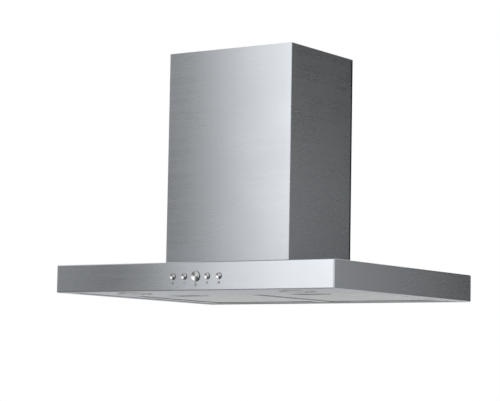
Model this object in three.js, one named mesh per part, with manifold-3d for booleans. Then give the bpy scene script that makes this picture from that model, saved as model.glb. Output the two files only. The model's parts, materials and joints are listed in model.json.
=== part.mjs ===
// Chimney range hood that hangs from the ceiling: a slim box canopy with push buttons, two lamps and two
// grease filters, a blower in its motor box, and a telescoping chimney round them.
// Millimetres. +Z is up, +X is to the right as seen from the front, and +Y is to the back.
// The origin is the centre of the canopy's footprint, level with its bottom rim.

import * as THREE from 'three';
import { mergeVertices } from 'three/addons/utils/BufferGeometryUtils.js';
import Module from 'manifold-3d';

const wasm = await Module();
wasm.setup();

// ---------------------------------------------------------------- clearances and roundness

const FIT = 0.2; // between pieces that rest against each other
const RUN = 0.3; // between pieces that move in each other
const OVER = 1; // how far a cutting shape reaches past what it cuts
const MERGE = 1e-4; // corners nearer than this are one corner
const SIDES_LARGE = 32; // flats round the outlet collar and the fan
const SIDES_MEDIUM = 20; // flats round lamps and large buttons
const SIDES_SMALL = 12; // flats round pins, bores and small buttons
const SIDES_CABLE = 8;
const SIDES_WIRE = 6;
const STEPS_PER_TURN = 8; // along a coil spring

// ---------------------------------------------------------------- canopy

const CANOPY_WIDTH = 600;
const CANOPY_DEPTH = 500;
const CANOPY_HEIGHT = 51;
const CANOPY_SHEET = 1.2;
const LIP_WIDTH = 20; // folded in round the open underside

// ---------------------------------------------------------------- chimney and its posts

const CHIMNEY_WIDTH = 270;
const CHIMNEY_DEPTH = 216;
const CHIMNEY_HEIGHT = 400; // above the canopy, pushed together
const CHIMNEY_SETBACK = 115; // from the canopy's front to the chimney's front
const COVER_SHEET = 1.2;
const REAR_COVER_EDGE = 7; // depth of the rear cover's side flanges
const REAR_COVER_STEP = 0.8; // the lower rear cover's flanges lie this far inside the front cover's faces
const UPPER_COVER_SHEET = 1;
const TELESCOPE_GAP = 1.2; // between the lower and the upper cover
const POST_SHEET = 2;
const POST_GAP = 0.5; // between an upper and a lower post
const POST_LEG = 22;
const POST_HEADROOM = 8; // from a lower post's top to the ceiling plate, and under an upper post
const PLATE_SHEET = 3;
const PLATE_FLANGE = 12;
const PLATE_OPENING_WIDTH = 190;
const PLATE_OPENING_DEPTH = 150;
const ANCHOR_SLOT_LENGTH = 30;
const ANCHOR_SLOT_WIDTH = 8;
const ANCHOR_SLOT_INSET = 16; // from the plate's front and back edges to the slots' middle
const ANCHOR_SLOT_SPACING = 120;
const VENT_COUNT = 6;
const VENT_LENGTH = 90;
const VENT_HEIGHT = 4;
const VENT_PITCH = 9;
const VENT_FROM_TOP = 25;

// ---------------------------------------------------------------- underside

const PANEL_SHEET = 1;
const PANEL_FLANGE_HEIGHT = 11; // of the upturned rim round the filters
const FRONT_STRIP = 168; // from the canopy's front to the filters
const BACK_STRIP = 28;
const SIDE_STRIP = 34;
const FILTER_THICKNESS = 9;
const FILTER_SHEET = 1;
const FILTER_RIM = 10;
const FILTER_GAP = 1.2; // beside each filter
const FILTER_FRONT_GAP = 1.5;
const FILTER_SWING_GAP = 4; // behind each filter, for its rear edge to turn in
const RAIL_WEB = 2;
const RAIL_WIDTH = 30;
const RAIL_SHEET = 1.2;
const RAIL_REAR_NOTCH = 22; // the rail's flange stops this far before the filters' rear edge
const HINGE_PIN_RADIUS = 2;
const HINGE_PIN_INSET = 4.5; // from a filter's rear edge
const HANDLE_WIDTH = 72;
const FINGER_ROOM = 7.7; // behind a latch that is drawn all the way back
const HANDLE_WALL = 1.5;
const LATCH_TRAVEL = 7;
const LATCH_BITE = 3.5; // how far the tongue reaches over the panel
const LATCH_TONGUE_WIDTH = 20;
const LATCH_SHEET = 2;
const LATCH_GRIP_DEPTH = 3;
const LATCH_SLIDER_WIDTH = 56;
const LATCH_SLIDER_DEPTH = 16;

// ---------------------------------------------------------------- lamps

const LAMP_INSET = 122; // from the canopy's side to each lamp
const LAMP_SETBACK = 78; // from the canopy's front
const LAMP_HOLE_RADIUS = 30;
const BEZEL_FLANGE = 4; // how far the bezel's flange covers the panel round the hole
const BEZEL_THICKNESS = 1;
const BEZEL_WALL = 1.6;
const BEZEL_HEIGHT = 8;
const LENS_SEAT = 3; // width of the ring that carries the lens
const LENS_THICKNESS = 2.6;
const LAMP_CUP_HEIGHT = 20;
const LAMP_CUP_WALL = 1.5;
const LAMP_CUP_TOP_RADIUS = 14;

// ---------------------------------------------------------------- controls

const CONTROLS_OFFSET = 15; // the row's middle lies this far right of the canopy's middle
const BUTTON_PITCH = 24.8;
const BUTTON_RADIUS = 5.5;
const LARGE_BUTTON_RADIUS = 9;
const BUTTON_PROUD = 2;
const BUTTON_DISH = 1.1; // depth of the hollow in a button's face
const BUTTON_FLANGE = 1.2;
const BUTTON_STEM_RADIUS = 2.5;
const BUTTON_TRAVEL = 1.8;
const SPRING_LENGTH = 6;
const SPRING_RADIUS = 4;
const SPRING_WIRE = 0.45;
const SPRING_TURNS = 3;
const CARRIER_WALL = 2;
const CARRIER_MARGIN = 15; // beyond the outer buttons' middles
const CARRIER_HEIGHT = 32;
const STEM_REACH = 2.7; // of a button's stem behind the carrier's plate
const SWITCH_SIZE = 6;
const SWITCH_HEIGHT = 4.5;
const BOARD_THICKNESS = 1.6;
const BOARD_LEDGE = 1.5;

// ---------------------------------------------------------------- motor box and blower

const MOTOR_BOX_SHEET = 1;
const MOTOR_BOX_HEIGHT = 290;
const MOTOR_BOX_FLANGE = 8;
const AIR_OPENING_MARGIN = 9; // from the motor box's outside to the opening in the canopy's top
const SCROLL_WALL = 2.5;
const SCROLL_CLEARANCE = 2; // to the motor box's front and back walls
const SCROLL_SIDE_GAP = 22; // from the motor box's left wall
const SCROLL_FLOOR_GAP = 12;
const SCROLL_GROWTH = 52; // in one full turn
const SCROLL_WIDTH = 130;
const SCROLL_FLANGE = 6;
const SCROLL_STEPS = 22;
const TONGUE_ANGLE = 125; // degrees from +Y, where the scroll begins
const TONGUE_GAP = 7; // from the fan to the scroll's tongue
const INLET_LIP = 16; // from the fan's outside to the edge of an inlet
const ROTOR_SIDE_GAP = 5; // from the fan to the scroll's side plates
const ROTOR_RING = 8;
const ROTOR_RING_THICKNESS = 3;
const ROTOR_DISC_THICKNESS = 3;
const BLADE_COUNT = 24;
const BLADE_DEPTH = 14;
const BLADE_SHEET = 1.2;
const BLADE_LEAN = 14; // degrees that a blade's tip leads its root
const HUB_RADIUS = 11;
const HUB_LENGTH = 24;
const SHAFT_RADIUS = 4;
const SHAFT_FREE_END = 6; // beyond the hub
const MOTOR_GAP = 9; // from the scroll to the motor
const MOTOR_RADIUS = 44;
const MOTOR_LENGTH = 58;
const MOTOR_BOSS_RADIUS = 13;
const MOTOR_BOSS_LENGTH = 4;
const BEARING_DEPTH = 26; // of the shaft's seat in the motor
const BRACKET_RING = 5;
const BRACKET_WIDTH = 12;
const BRACKET_ARM_WIDTH = 12;
const BRACKET_FOOT = 8;
const BRACKET_FOOT_OUTSET = 16; // from the inlet's edge to the far side of a foot

// ---------------------------------------------------------------- outlet collar, flaps and power box

const COLLAR_RADIUS = 75;
const COLLAR_WALL = 2.5;
const COLLAR_HEIGHT = 42;
const COLLAR_FLANGE = 9;
const COLLAR_SHIFT = 12; // to the back of the motor box's middle
const FLAP_SHEET = 1.5;
const FLAP_AXIS_HEIGHT = 14;
const FLAP_AXIS_OFFSET = 4; // from the collar's middle plane
const FLAP_GAP = 1.2; // to the collar's wall
const FLAP_BARREL_RADIUS = 2.2;
const FLAP_PIN_RADIUS = 1.4;
const FLAP_LEDGE = 3;
const FLAP_LEDGE_NOTCH = 8;
const POWER_BOX_WIDTH = 69;
const POWER_BOX_DEPTH = 135;
const POWER_BOX_HEIGHT = 40;
const POWER_BOX_WALL = 2;
const POWER_BOX_EDGE = 6; // from the motor box's right wall
const POWER_BOX_SHIFT = -7; // of its middle from the motor box's middle
const POWER_COVER_SHEET = 2;
const POWER_COVER_RIM = 4;
const CAPACITOR_RADIUS = 14;
const CAPACITOR_LENGTH = 56;
const GLAND_THREAD_RADIUS = 7.5;
const GLAND_NUT_RADIUS = 10;
const GLAND_BORE_RADIUS = 3.5;
const GLAND_NUT_LENGTH = 6;
const GLAND_DOME_LENGTH = 10;

// ---------------------------------------------------------------- cables held in the hood

const CABLE_RADIUS = 2;
const MOTOR_CABLE_RADIUS = 3;
const CABLE_STEPS = 20;
const CONTROL_CABLE_SETBACK = 66; // from the chimney's middle forward to the control cable

// ---------------------------------------------------------------- places that several pieces share

const CANOPY_FRONT = -CANOPY_DEPTH / 2;
const CANOPY_BACK = CANOPY_DEPTH / 2;
const CANOPY_RIGHT = CANOPY_WIDTH / 2;
const CANOPY_TOP_UNDERSIDE = CANOPY_HEIGHT - CANOPY_SHEET;
const HOOD_TOP = CANOPY_HEIGHT + CHIMNEY_HEIGHT;
const CHIMNEY_FRONT = CANOPY_FRONT + CHIMNEY_SETBACK;
const CHIMNEY_MIDDLE = CHIMNEY_FRONT + CHIMNEY_DEPTH / 2;

// Insets from the chimney's outer faces to each layer inside it.
const UPPER_COVER_INSET = COVER_SHEET + TELESCOPE_GAP;
const UPPER_POST_INSET = UPPER_COVER_INSET + UPPER_COVER_SHEET + FIT;
const LOWER_POST_INSET = UPPER_POST_INSET + POST_SHEET + POST_GAP;
const MOTOR_BOX_INSET = LOWER_POST_INSET + POST_SHEET + FIT;

const LAMP_X = CANOPY_RIGHT - LAMP_INSET;
const LAMP_Y = CANOPY_FRONT + LAMP_SETBACK;
const PANEL_BOTTOM = CANOPY_SHEET + FIT;
const PANEL_TOP = PANEL_BOTTOM + PANEL_SHEET;
const FILTER_FRONT = CANOPY_FRONT + FRONT_STRIP;
const FILTER_BACK = CANOPY_BACK - BACK_STRIP;
const FILTER_INNER = RAIL_WEB / 2 + FILTER_GAP;
const FILTER_OUTER = CANOPY_RIGHT - SIDE_STRIP;
const FILTER_MIDDLE = (FILTER_INNER + FILTER_OUTER) / 2;
const FILTER_BOTTOM = PANEL_BOTTOM;
const FILTER_TOP = FILTER_BOTTOM + FILTER_THICKNESS;
const HINGE_Y = FILTER_BACK - HINGE_PIN_INSET;
const HINGE_Z = FILTER_BOTTOM + FILTER_THICKNESS / 2;
const TONGUE_BOTTOM = PANEL_TOP + RUN;
const TONGUE_TOP = TONGUE_BOTTOM + LATCH_SHEET;

const BOX_BOTTOM = CANOPY_HEIGHT + FIT;
const BOX_TOP = BOX_BOTTOM + MOTOR_BOX_HEIGHT;
const BOX_LEFT_INSIDE = -CHIMNEY_WIDTH / 2 + MOTOR_BOX_INSET + MOTOR_BOX_SHEET;
const BOX_DEPTH_INSIDE = CHIMNEY_DEPTH - 2 * (MOTOR_BOX_INSET + MOTOR_BOX_SHEET);
const SCROLL_LEFT = BOX_LEFT_INSIDE + SCROLL_SIDE_GAP;
const SCROLL_RIGHT = SCROLL_LEFT + SCROLL_WIDTH;
const SCROLL_MIDDLE = (SCROLL_LEFT + SCROLL_RIGHT) / 2;
const SCROLL_TOP = BOX_TOP - MOTOR_BOX_SHEET - FIT;
const SCROLL_SPAN = BOX_DEPTH_INSIDE - 2 * (SCROLL_CLEARANCE + SCROLL_WALL);
const SCROLL_FRONT_RADIUS = (SCROLL_SPAN - SCROLL_GROWTH / 2) / 2;
const FAN_Y = CHIMNEY_MIDDLE - SCROLL_GROWTH / 4;
const FAN_Z = BOX_BOTTOM + MOTOR_BOX_SHEET + SCROLL_FLOOR_GAP + SCROLL_WALL + scrollRadius(270);
const ROTOR_RADIUS = scrollRadius(TONGUE_ANGLE) - TONGUE_GAP;
const ROTOR_LEFT = SCROLL_LEFT + SCROLL_WALL + ROTOR_SIDE_GAP;
const ROTOR_RIGHT = SCROLL_RIGHT - SCROLL_WALL - ROTOR_SIDE_GAP;
const INLET_RADIUS = ROTOR_RADIUS - INLET_LIP;
const MOTOR_LEFT = SCROLL_RIGHT + MOTOR_GAP;
const MOTOR_CABLE_X = MOTOR_LEFT + MOTOR_LENGTH / 2;

const COLLAR_X = SCROLL_MIDDLE;
const COLLAR_Y = CHIMNEY_MIDDLE + COLLAR_SHIFT;
const COLLAR_BOTTOM = BOX_TOP + FIT;
const COLLAR_BORE = COLLAR_RADIUS - COLLAR_WALL;
const FLAP_Z = COLLAR_BOTTOM + FLAP_AXIS_HEIGHT;
const POWER_BOX_RIGHT = CHIMNEY_WIDTH / 2 - MOTOR_BOX_INSET - POWER_BOX_EDGE;
const POWER_BOX_LEFT = POWER_BOX_RIGHT - POWER_BOX_WIDTH;
const POWER_BOX_MIDDLE = CHIMNEY_MIDDLE + POWER_BOX_SHIFT;
const POWER_BOX_BOTTOM = BOX_TOP + FIT;
const POWER_BOX_TOP = POWER_BOX_BOTTOM + POWER_BOX_HEIGHT;

const BUTTON_Z = CANOPY_HEIGHT / 2;
const BUTTON_FLANGE_FRONT = CANOPY_FRONT + CANOPY_SHEET + RUN;
const SPRING_FRONT = BUTTON_FLANGE_FRONT + BUTTON_FLANGE + FIT;
const CARRIER_PLATE_FRONT = SPRING_FRONT + SPRING_LENGTH + FIT;
const CARRIER_PLATE_BACK = CARRIER_PLATE_FRONT + CARRIER_WALL;
const STEM_END = CARRIER_PLATE_BACK + STEM_REACH;
const SWITCH_FRONT = STEM_END + BUTTON_TRAVEL + FIT;
const BOARD_FRONT = SWITCH_FRONT + SWITCH_HEIGHT;
const BOARD_BACK = BOARD_FRONT + BOARD_THICKNESS;
const BUTTON_ROW = [
  { name: 'light', radius: BUTTON_RADIUS },
  { name: 'minus', radius: BUTTON_RADIUS },
  { name: 'power', radius: LARGE_BUTTON_RADIUS },
  { name: 'plus', radius: BUTTON_RADIUS },
  { name: 'timer', radius: BUTTON_RADIUS },
].map((button, place, row) => ({
  ...button,
  x: CONTROLS_OFFSET + (place - (row.length - 1) / 2) * BUTTON_PITCH,
}));

// ---------------------------------------------------------------- shapes

// Radius of the scroll's inner wall at an angle in degrees from +Y, from the tongue round to 360.
function scrollRadius(angle) {
  return SCROLL_FRONT_RADIUS + (SCROLL_GROWTH * (angle - 180)) / 360;
}

function radians(degrees) {
  return (degrees * Math.PI) / 180;
}

// A solid from a closed geometry whose faces may all point out or all point in.
function solid(geometry) {
  geometry.deleteAttribute('normal');
  geometry.deleteAttribute('uv');
  const merged = mergeVertices(geometry, MERGE);
  const corners = merged.attributes.position;
  const triangles = [];
  let volume = 0;
  const [a, b, c] = [new THREE.Vector3(), new THREE.Vector3(), new THREE.Vector3()];
  for (let i = 0; i < merged.index.count; i += 3) {
    const triangle = [0, 1, 2].map((k) => merged.index.getX(i + k));
    if (new Set(triangle).size < 3) continue;
    triangles.push(triangle);
    [a, b, c].forEach((corner, k) => corner.fromBufferAttribute(corners, triangle[k]));
    volume += a.dot(b.cross(c));
  }
  if (volume < 0) triangles.forEach((triangle) => triangle.reverse());
  const triVerts = Uint32Array.from(triangles.flat());
  return new wasm.Manifold(new wasm.Mesh({ numProp: 3, vertProperties: corners.array, triVerts }));
}

function block([x0, x1], [y0, y1], [z0, z1]) {
  const geometry = new THREE.BoxGeometry(x1 - x0, y1 - y0, z1 - z0);
  return solid(geometry.translate((x0 + x1) / 2, (y0 + y1) / 2, (z0 + z1) / 2));
}

// Turns a geometry made along +Y so that it runs along the named axis.
function alongAxis(geometry, axis) {
  if (axis === 'x') return geometry.rotateZ(-Math.PI / 2);
  if (axis === 'z') return geometry.rotateX(Math.PI / 2);
  return geometry;
}

// The point on the named axis at a distance, with the other two coordinates in X, Y, Z order.
function pointOn(axis, along, [first, second]) {
  if (axis === 'x') return [along, first, second];
  if (axis === 'y') return [first, along, second];
  return [first, second, along];
}

function rod(axis, radius, [from, to], centre, sides = SIDES_SMALL) {
  const geometry = alongAxis(new THREE.CylinderGeometry(radius, radius, to - from, sides), axis);
  return solid(geometry.translate(...pointOn(axis, (from + to) / 2, centre)));
}

// A turned solid: the profile lists [radius, distance along the axis].
function turned(axis, profile, centre, sides = SIDES_MEDIUM) {
  const points = profile.map(([radius, along]) => new THREE.Vector2(radius, along));
  const geometry = alongAxis(new THREE.LatheGeometry(points, sides), axis);
  return solid(geometry.translate(...pointOn(axis, 0, centre)));
}

// A plane outline pushed along the named axis. Its points are in the other two coordinates, in X, Y, Z order.
function extruded(axis, outline, [from, to]) {
  const shape = new THREE.Shape(outline.map(([first, second]) => new THREE.Vector2(first, second)));
  const geometry = new THREE.ExtrudeGeometry(shape, { depth: to - from, bevelEnabled: false, steps: 1 });
  const basis = ['first', 'second', 'along'].map((role) => {
    const components = { first: [0, [1, 0]], second: [0, [0, 1]], along: [1, [0, 0]] }[role];
    return new THREE.Vector3(...pointOn(axis, components[0], components[1]));
  });
  geometry.applyMatrix4(new THREE.Matrix4().makeBasis(...basis));
  return solid(geometry.translate(...pointOn(axis, from, [0, 0])));
}

// A round bar along a curve.
function bar(curve, radius, steps, sides) {
  const section = new THREE.Shape().absarc(0, 0, radius, 0, 2 * Math.PI);
  const options = { extrudePath: curve, steps, curveSegments: sides / 2 };
  return solid(new THREE.ExtrudeGeometry(section, options));
}

function join(first, ...others) {
  return others.reduce((sum, other) => sum.add(other), first);
}

function cut(base, ...tools) {
  return tools.reduce((rest, tool) => rest.subtract(tool), base);
}

// Interval pointing away from the middle on the side of the given sign.
function sided(side, near, far) {
  return side > 0 ? [near, far] : [-far, -near];
}

function piece(name, body, material) {
  const { vertProperties, triVerts } = body.getMesh();
  const geometry = new THREE.BufferGeometry();
  geometry.setAttribute('position', new THREE.BufferAttribute(vertProperties, 3));
  geometry.setIndex(new THREE.BufferAttribute(triVerts, 1));
  geometry.computeVertexNormals();
  const mesh = new THREE.Mesh(geometry, material);
  mesh.name = name;
  return mesh;
}

// The chimney's plan, moved in from its outer faces.
function chimneyPlan(inset) {
  const half = CHIMNEY_WIDTH / 2 - inset;
  const front = CHIMNEY_FRONT + inset;
  const back = CHIMNEY_FRONT + CHIMNEY_DEPTH - inset;
  return { x: [-half, half], y: [front, back] };
}

function chimneyBlock(inset, heights) {
  const plan = chimneyPlan(inset);
  return block(plan.x, plan.y, heights);
}

// ---------------------------------------------------------------- materials

function finish(color, roughness, metalness) {
  return new THREE.MeshStandardMaterial({ color, roughness, metalness });
}

const BRUSHED_STEEL = finish(0xb9bbbe, 0.35, 1);
const GALVANISED = finish(0xa4a8ab, 0.5, 1);
const CHROME = finish(0xe2e4e6, 0.08, 1);
const ALUMINIUM = finish(0xc9cccf, 0.4, 1);
const BLACK_PLASTIC = finish(0x1c1d1f, 0.55, 0);
const GREY_PLASTIC = finish(0x7b7e81, 0.5, 0);
const WHITE_PLASTIC = finish(0xe9e9e6, 0.45, 0);
const BOARD_GREEN = finish(0x1f5b34, 0.5, 0);
const SPRING_STEEL = finish(0xd0d2d4, 0.25, 1);
const FROSTED_GLASS = finish(0xeef1f2, 0.3, 0);
const MOTOR_STEEL = finish(0x5c6064, 0.4, 1);
const CABLE_SHEATH = finish(0x2a2b2d, 0.6, 0);

// ---------------------------------------------------------------- canopy

function canopyShell() {
  const full = { x: [-CANOPY_RIGHT, CANOPY_RIGHT], y: [CANOPY_FRONT, CANOPY_BACK] };
  const inside = {
    x: [-CANOPY_RIGHT + CANOPY_SHEET, CANOPY_RIGHT - CANOPY_SHEET],
    y: [CANOPY_FRONT + CANOPY_SHEET, CANOPY_BACK - CANOPY_SHEET],
  };
  const mouth = {
    x: [-CANOPY_RIGHT + LIP_WIDTH, CANOPY_RIGHT - LIP_WIDTH],
    y: [CANOPY_FRONT + LIP_WIDTH, CANOPY_BACK - LIP_WIDTH],
  };
  const buttonHoles = BUTTON_ROW.map(({ x, radius }) =>
    rod('y', radius + RUN, [CANOPY_FRONT - OVER, CANOPY_FRONT + CANOPY_SHEET + OVER], [x, BUTTON_Z],
      SIDES_MEDIUM));
  return cut(
    block(full.x, full.y, [0, CANOPY_HEIGHT]),
    block(inside.x, inside.y, [CANOPY_SHEET, CANOPY_TOP_UNDERSIDE]),
    block(mouth.x, mouth.y, [-OVER, CANOPY_SHEET + OVER]),
    chimneyBlock(MOTOR_BOX_INSET + AIR_OPENING_MARGIN, [CANOPY_TOP_UNDERSIDE - OVER, CANOPY_HEIGHT + OVER]),
    ...buttonHoles,
  );
}

// ---------------------------------------------------------------- underside panel and rail

function undersidePanel() {
  const half = CANOPY_RIGHT - CANOPY_SHEET - FIT;
  const ends = [CANOPY_FRONT + CANOPY_SHEET + FIT, CANOPY_BACK - CANOPY_SHEET - FIT];
  const opening = {
    x: [-FILTER_OUTER - FILTER_GAP, FILTER_OUTER + FILTER_GAP],
    y: [FILTER_FRONT - FILTER_FRONT_GAP, FILTER_BACK + FILTER_SWING_GAP],
  };
  const flangeOutside = {
    x: [opening.x[0] - PANEL_SHEET, opening.x[1] + PANEL_SHEET],
    y: [opening.y[0] - PANEL_SHEET, opening.y[1] + PANEL_SHEET],
  };
  const flangeTop = PANEL_BOTTOM + PANEL_FLANGE_HEIGHT;
  const latchSlots = [-1, 1].map((side) => {
    const middle = side * FILTER_MIDDLE;
    const reach = LATCH_TONGUE_WIDTH / 2 + RUN;
    return block([middle - reach, middle + reach],
      [flangeOutside.y[0] - OVER, opening.y[0] + OVER], [PANEL_TOP, TONGUE_TOP + RUN]);
  });
  return cut(
    join(
      block([-half, half], ends, [PANEL_BOTTOM, PANEL_TOP]),
      block(flangeOutside.x, flangeOutside.y, [PANEL_BOTTOM, flangeTop]),
    ),
    block(opening.x, opening.y, [PANEL_BOTTOM - OVER, flangeTop + OVER]),
    rod('x', HINGE_PIN_RADIUS + RUN, [flangeOutside.x[0] - OVER, flangeOutside.x[1] + OVER],
      [HINGE_Y, HINGE_Z]),
    ...latchSlots,
    ...[-1, 1].map((side) =>
      rod('z', LAMP_HOLE_RADIUS, [PANEL_BOTTOM - OVER, PANEL_TOP + OVER],
        [side * LAMP_X, LAMP_Y], SIDES_MEDIUM)),
  );
}

// A T-shaped rail between the filters: they hinge on its web and close against its flange.
function filterRail() {
  const ends = [FILTER_FRONT - FILTER_FRONT_GAP + FIT, FILTER_BACK + FILTER_SWING_GAP - FIT];
  const flangeBottom = FILTER_TOP + RUN;
  const web = block([-RAIL_WEB / 2, RAIL_WEB / 2], ends, [PANEL_BOTTOM, flangeBottom + RAIL_SHEET]);
  const flange = block([-RAIL_WIDTH / 2, RAIL_WIDTH / 2], [ends[0], FILTER_BACK - RAIL_REAR_NOTCH],
    [flangeBottom, flangeBottom + RAIL_SHEET]);
  const pinHole = rod('x', HINGE_PIN_RADIUS + RUN, [-RAIL_WEB, RAIL_WEB], [HINGE_Y, HINGE_Z]);
  return cut(join(web, flange), pinHole);
}

// ---------------------------------------------------------------- grease filters

const HANDLE_FRONT = FILTER_FRONT + FILTER_SHEET + FIT;
const HANDLE_TOP = FILTER_TOP - FILTER_SHEET - FIT;
const LATCH_FRONT = HANDLE_FRONT + HANDLE_WALL + RUN;
const LATCH_BACK = LATCH_FRONT + LATCH_SLIDER_DEPTH;
const HANDLE_BACK = LATCH_BACK + LATCH_TRAVEL + FINGER_ROOM + HANDLE_WALL;

function handleRange(middle, growth) {
  const reach = HANDLE_WIDTH / 2 + growth;
  return [middle - reach, middle + reach];
}

function filterFrame(side) {
  const across = sided(side, FILTER_INNER, FILTER_OUTER);
  const depth = [FILTER_FRONT, FILTER_BACK];
  const middle = side * FILTER_MIDDLE;
  const shrink = ([from, to], by) => [from + by, to - by];
  const tongueReach = LATCH_TONGUE_WIDTH / 2 + RUN;
  const innerPin = sided(side, FIT, FILTER_INNER + OVER);
  const outerPin = sided(side, FILTER_OUTER - OVER, FILTER_OUTER + FILTER_GAP + PANEL_SHEET);
  return join(
    cut(
      block(across, depth, [FILTER_BOTTOM, FILTER_TOP]),
      block(shrink(across, FILTER_SHEET), shrink(depth, FILTER_SHEET),
        [FILTER_BOTTOM + FILTER_SHEET, FILTER_TOP - FILTER_SHEET]),
      block(shrink(across, FILTER_RIM), shrink(depth, FILTER_RIM), [FILTER_BOTTOM - OVER, FILTER_TOP + OVER]),
      block(handleRange(middle, FIT), [HANDLE_FRONT - FIT, HANDLE_BACK], [FILTER_BOTTOM - OVER, HANDLE_TOP]),
      block([middle - tongueReach, middle + tongueReach], [FILTER_FRONT - OVER, HANDLE_FRONT],
        [TONGUE_BOTTOM - RUN, TONGUE_TOP + RUN]),
    ),
    rod('x', HINGE_PIN_RADIUS, innerPin, [HINGE_Y, HINGE_Z]),
    rod('x', HINGE_PIN_RADIUS, outerPin, [HINGE_Y, HINGE_Z]),
  );
}

function filterPad(side) {
  const margin = FILTER_SHEET + FIT;
  return cut(
    block(sided(side, FILTER_INNER + margin, FILTER_OUTER - margin),
      [FILTER_FRONT + margin, FILTER_BACK - margin], [FILTER_BOTTOM + margin, FILTER_TOP - margin]),
    block(handleRange(side * FILTER_MIDDLE, FIT), [FILTER_FRONT, HANDLE_BACK + FIT],
      [FILTER_BOTTOM - OVER, FILTER_TOP + OVER]),
  );
}

// A cup in the filter, open underneath. Two side ledges carry the latch, and a deeper pocket behind it
// takes the fingertips.
function filterHandle(side) {
  const middle = side * FILTER_MIDDLE;
  const tongueReach = LATCH_TONGUE_WIDTH / 2 + RUN;
  const sliderReach = LATCH_SLIDER_WIDTH / 2 + RUN;
  const cavityTop = TONGUE_TOP + RUN;
  return cut(
    block(handleRange(middle, 0), [HANDLE_FRONT, HANDLE_BACK], [FILTER_BOTTOM, HANDLE_TOP]),
    block([middle - sliderReach, middle + sliderReach],
      [HANDLE_FRONT + HANDLE_WALL, HANDLE_BACK - HANDLE_WALL], [TONGUE_BOTTOM - RUN, cavityTop]),
    block([middle - sliderReach + HANDLE_WALL, middle + sliderReach - HANDLE_WALL],
      [HANDLE_FRONT + HANDLE_WALL, HANDLE_BACK - HANDLE_WALL], [FILTER_BOTTOM - OVER, TONGUE_BOTTOM]),
    block([middle - sliderReach + HANDLE_WALL, middle + sliderReach - HANDLE_WALL],
      [LATCH_BACK + FIT, HANDLE_BACK - HANDLE_WALL], [FILTER_BOTTOM - OVER, HANDLE_TOP - HANDLE_WALL]),
    block([middle - tongueReach, middle + tongueReach], [HANDLE_FRONT - OVER, HANDLE_FRONT + HANDLE_WALL + OVER],
      [TONGUE_BOTTOM - RUN, cavityTop]),
  );
}

function filterLatch(side) {
  const middle = side * FILTER_MIDDLE;
  const tongueTip = FILTER_FRONT - FILTER_FRONT_GAP - LATCH_BITE;
  const gripReach = LATCH_SLIDER_WIDTH / 2 - HANDLE_WALL - RUN;
  return join(
    block([middle - LATCH_SLIDER_WIDTH / 2, middle + LATCH_SLIDER_WIDTH / 2], [LATCH_FRONT, LATCH_BACK],
      [TONGUE_BOTTOM, TONGUE_TOP]),
    block([middle - LATCH_TONGUE_WIDTH / 2, middle + LATCH_TONGUE_WIDTH / 2], [tongueTip, LATCH_BACK],
      [TONGUE_BOTTOM, TONGUE_TOP]),
    block([middle - gripReach, middle + gripReach], [LATCH_BACK - LATCH_GRIP_DEPTH, LATCH_BACK],
      [FILTER_BOTTOM, TONGUE_TOP]),
  );
}

// ---------------------------------------------------------------- lamps

const BEZEL_TOP = PANEL_BOTTOM + BEZEL_HEIGHT;
const LENS_RADIUS = LAMP_HOLE_RADIUS - 2 * FIT - BEZEL_WALL;
const LENS_BOTTOM = PANEL_BOTTOM + FIT;
const CUP_BOTTOM = BEZEL_TOP + FIT;
const CUP_TOP = CUP_BOTTOM + LAMP_CUP_HEIGHT;

function lampCentre(side) {
  return [side * LAMP_X, LAMP_Y];
}

function lampBezel(side) {
  const sleeve = LAMP_HOLE_RADIUS - FIT;
  const flangeTop = PANEL_BOTTOM - FIT;
  const flangeBottom = flangeTop - BEZEL_THICKNESS;
  return turned('z', [
    [LENS_RADIUS - LENS_SEAT, flangeBottom],
    [LAMP_HOLE_RADIUS + BEZEL_FLANGE, flangeBottom],
    [LAMP_HOLE_RADIUS + BEZEL_FLANGE, flangeTop],
    [sleeve, flangeTop],
    [sleeve, BEZEL_TOP],
    [sleeve - BEZEL_WALL, BEZEL_TOP],
    [sleeve - BEZEL_WALL, LENS_BOTTOM - FIT],
    [LENS_RADIUS - LENS_SEAT, LENS_BOTTOM - FIT],
    [LENS_RADIUS - LENS_SEAT, flangeBottom],
  ], lampCentre(side));
}

function lampLens(side) {
  return rod('z', LENS_RADIUS, [LENS_BOTTOM, LENS_BOTTOM + LENS_THICKNESS], lampCentre(side), SIDES_MEDIUM);
}

function lampHousing(side) {
  const outside = LAMP_HOLE_RADIUS;
  return turned('z', [
    [0, CUP_TOP],
    [LAMP_CUP_TOP_RADIUS, CUP_TOP],
    [outside, CUP_BOTTOM],
    [outside - LAMP_CUP_WALL, CUP_BOTTOM],
    [LAMP_CUP_TOP_RADIUS - LAMP_CUP_WALL, CUP_TOP - LAMP_CUP_WALL],
    [0, CUP_TOP - LAMP_CUP_WALL],
  ], lampCentre(side));
}

// ---------------------------------------------------------------- controls

function pushButton({ x, radius }) {
  const face = CANOPY_FRONT - BUTTON_PROUD;
  const flangeBack = BUTTON_FLANGE_FRONT + BUTTON_FLANGE;
  const sides = radius > BUTTON_RADIUS ? SIDES_MEDIUM : SIDES_SMALL;
  const chamfer = BUTTON_PROUD / 4;
  return turned('y', [
    [0, face + BUTTON_DISH],
    [radius / 2, face + BUTTON_DISH * 3 / 4],
    [radius - 2 * chamfer, face],
    [radius - chamfer, face],
    [radius, face + chamfer],
    [radius, BUTTON_FLANGE_FRONT],
    [radius + BUTTON_FLANGE, BUTTON_FLANGE_FRONT],
    [radius + BUTTON_FLANGE, flangeBack],
    [BUTTON_STEM_RADIUS, flangeBack],
    [BUTTON_STEM_RADIUS, STEM_END],
    [0, STEM_END],
  ], [x, BUTTON_Z], sides);
}

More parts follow.
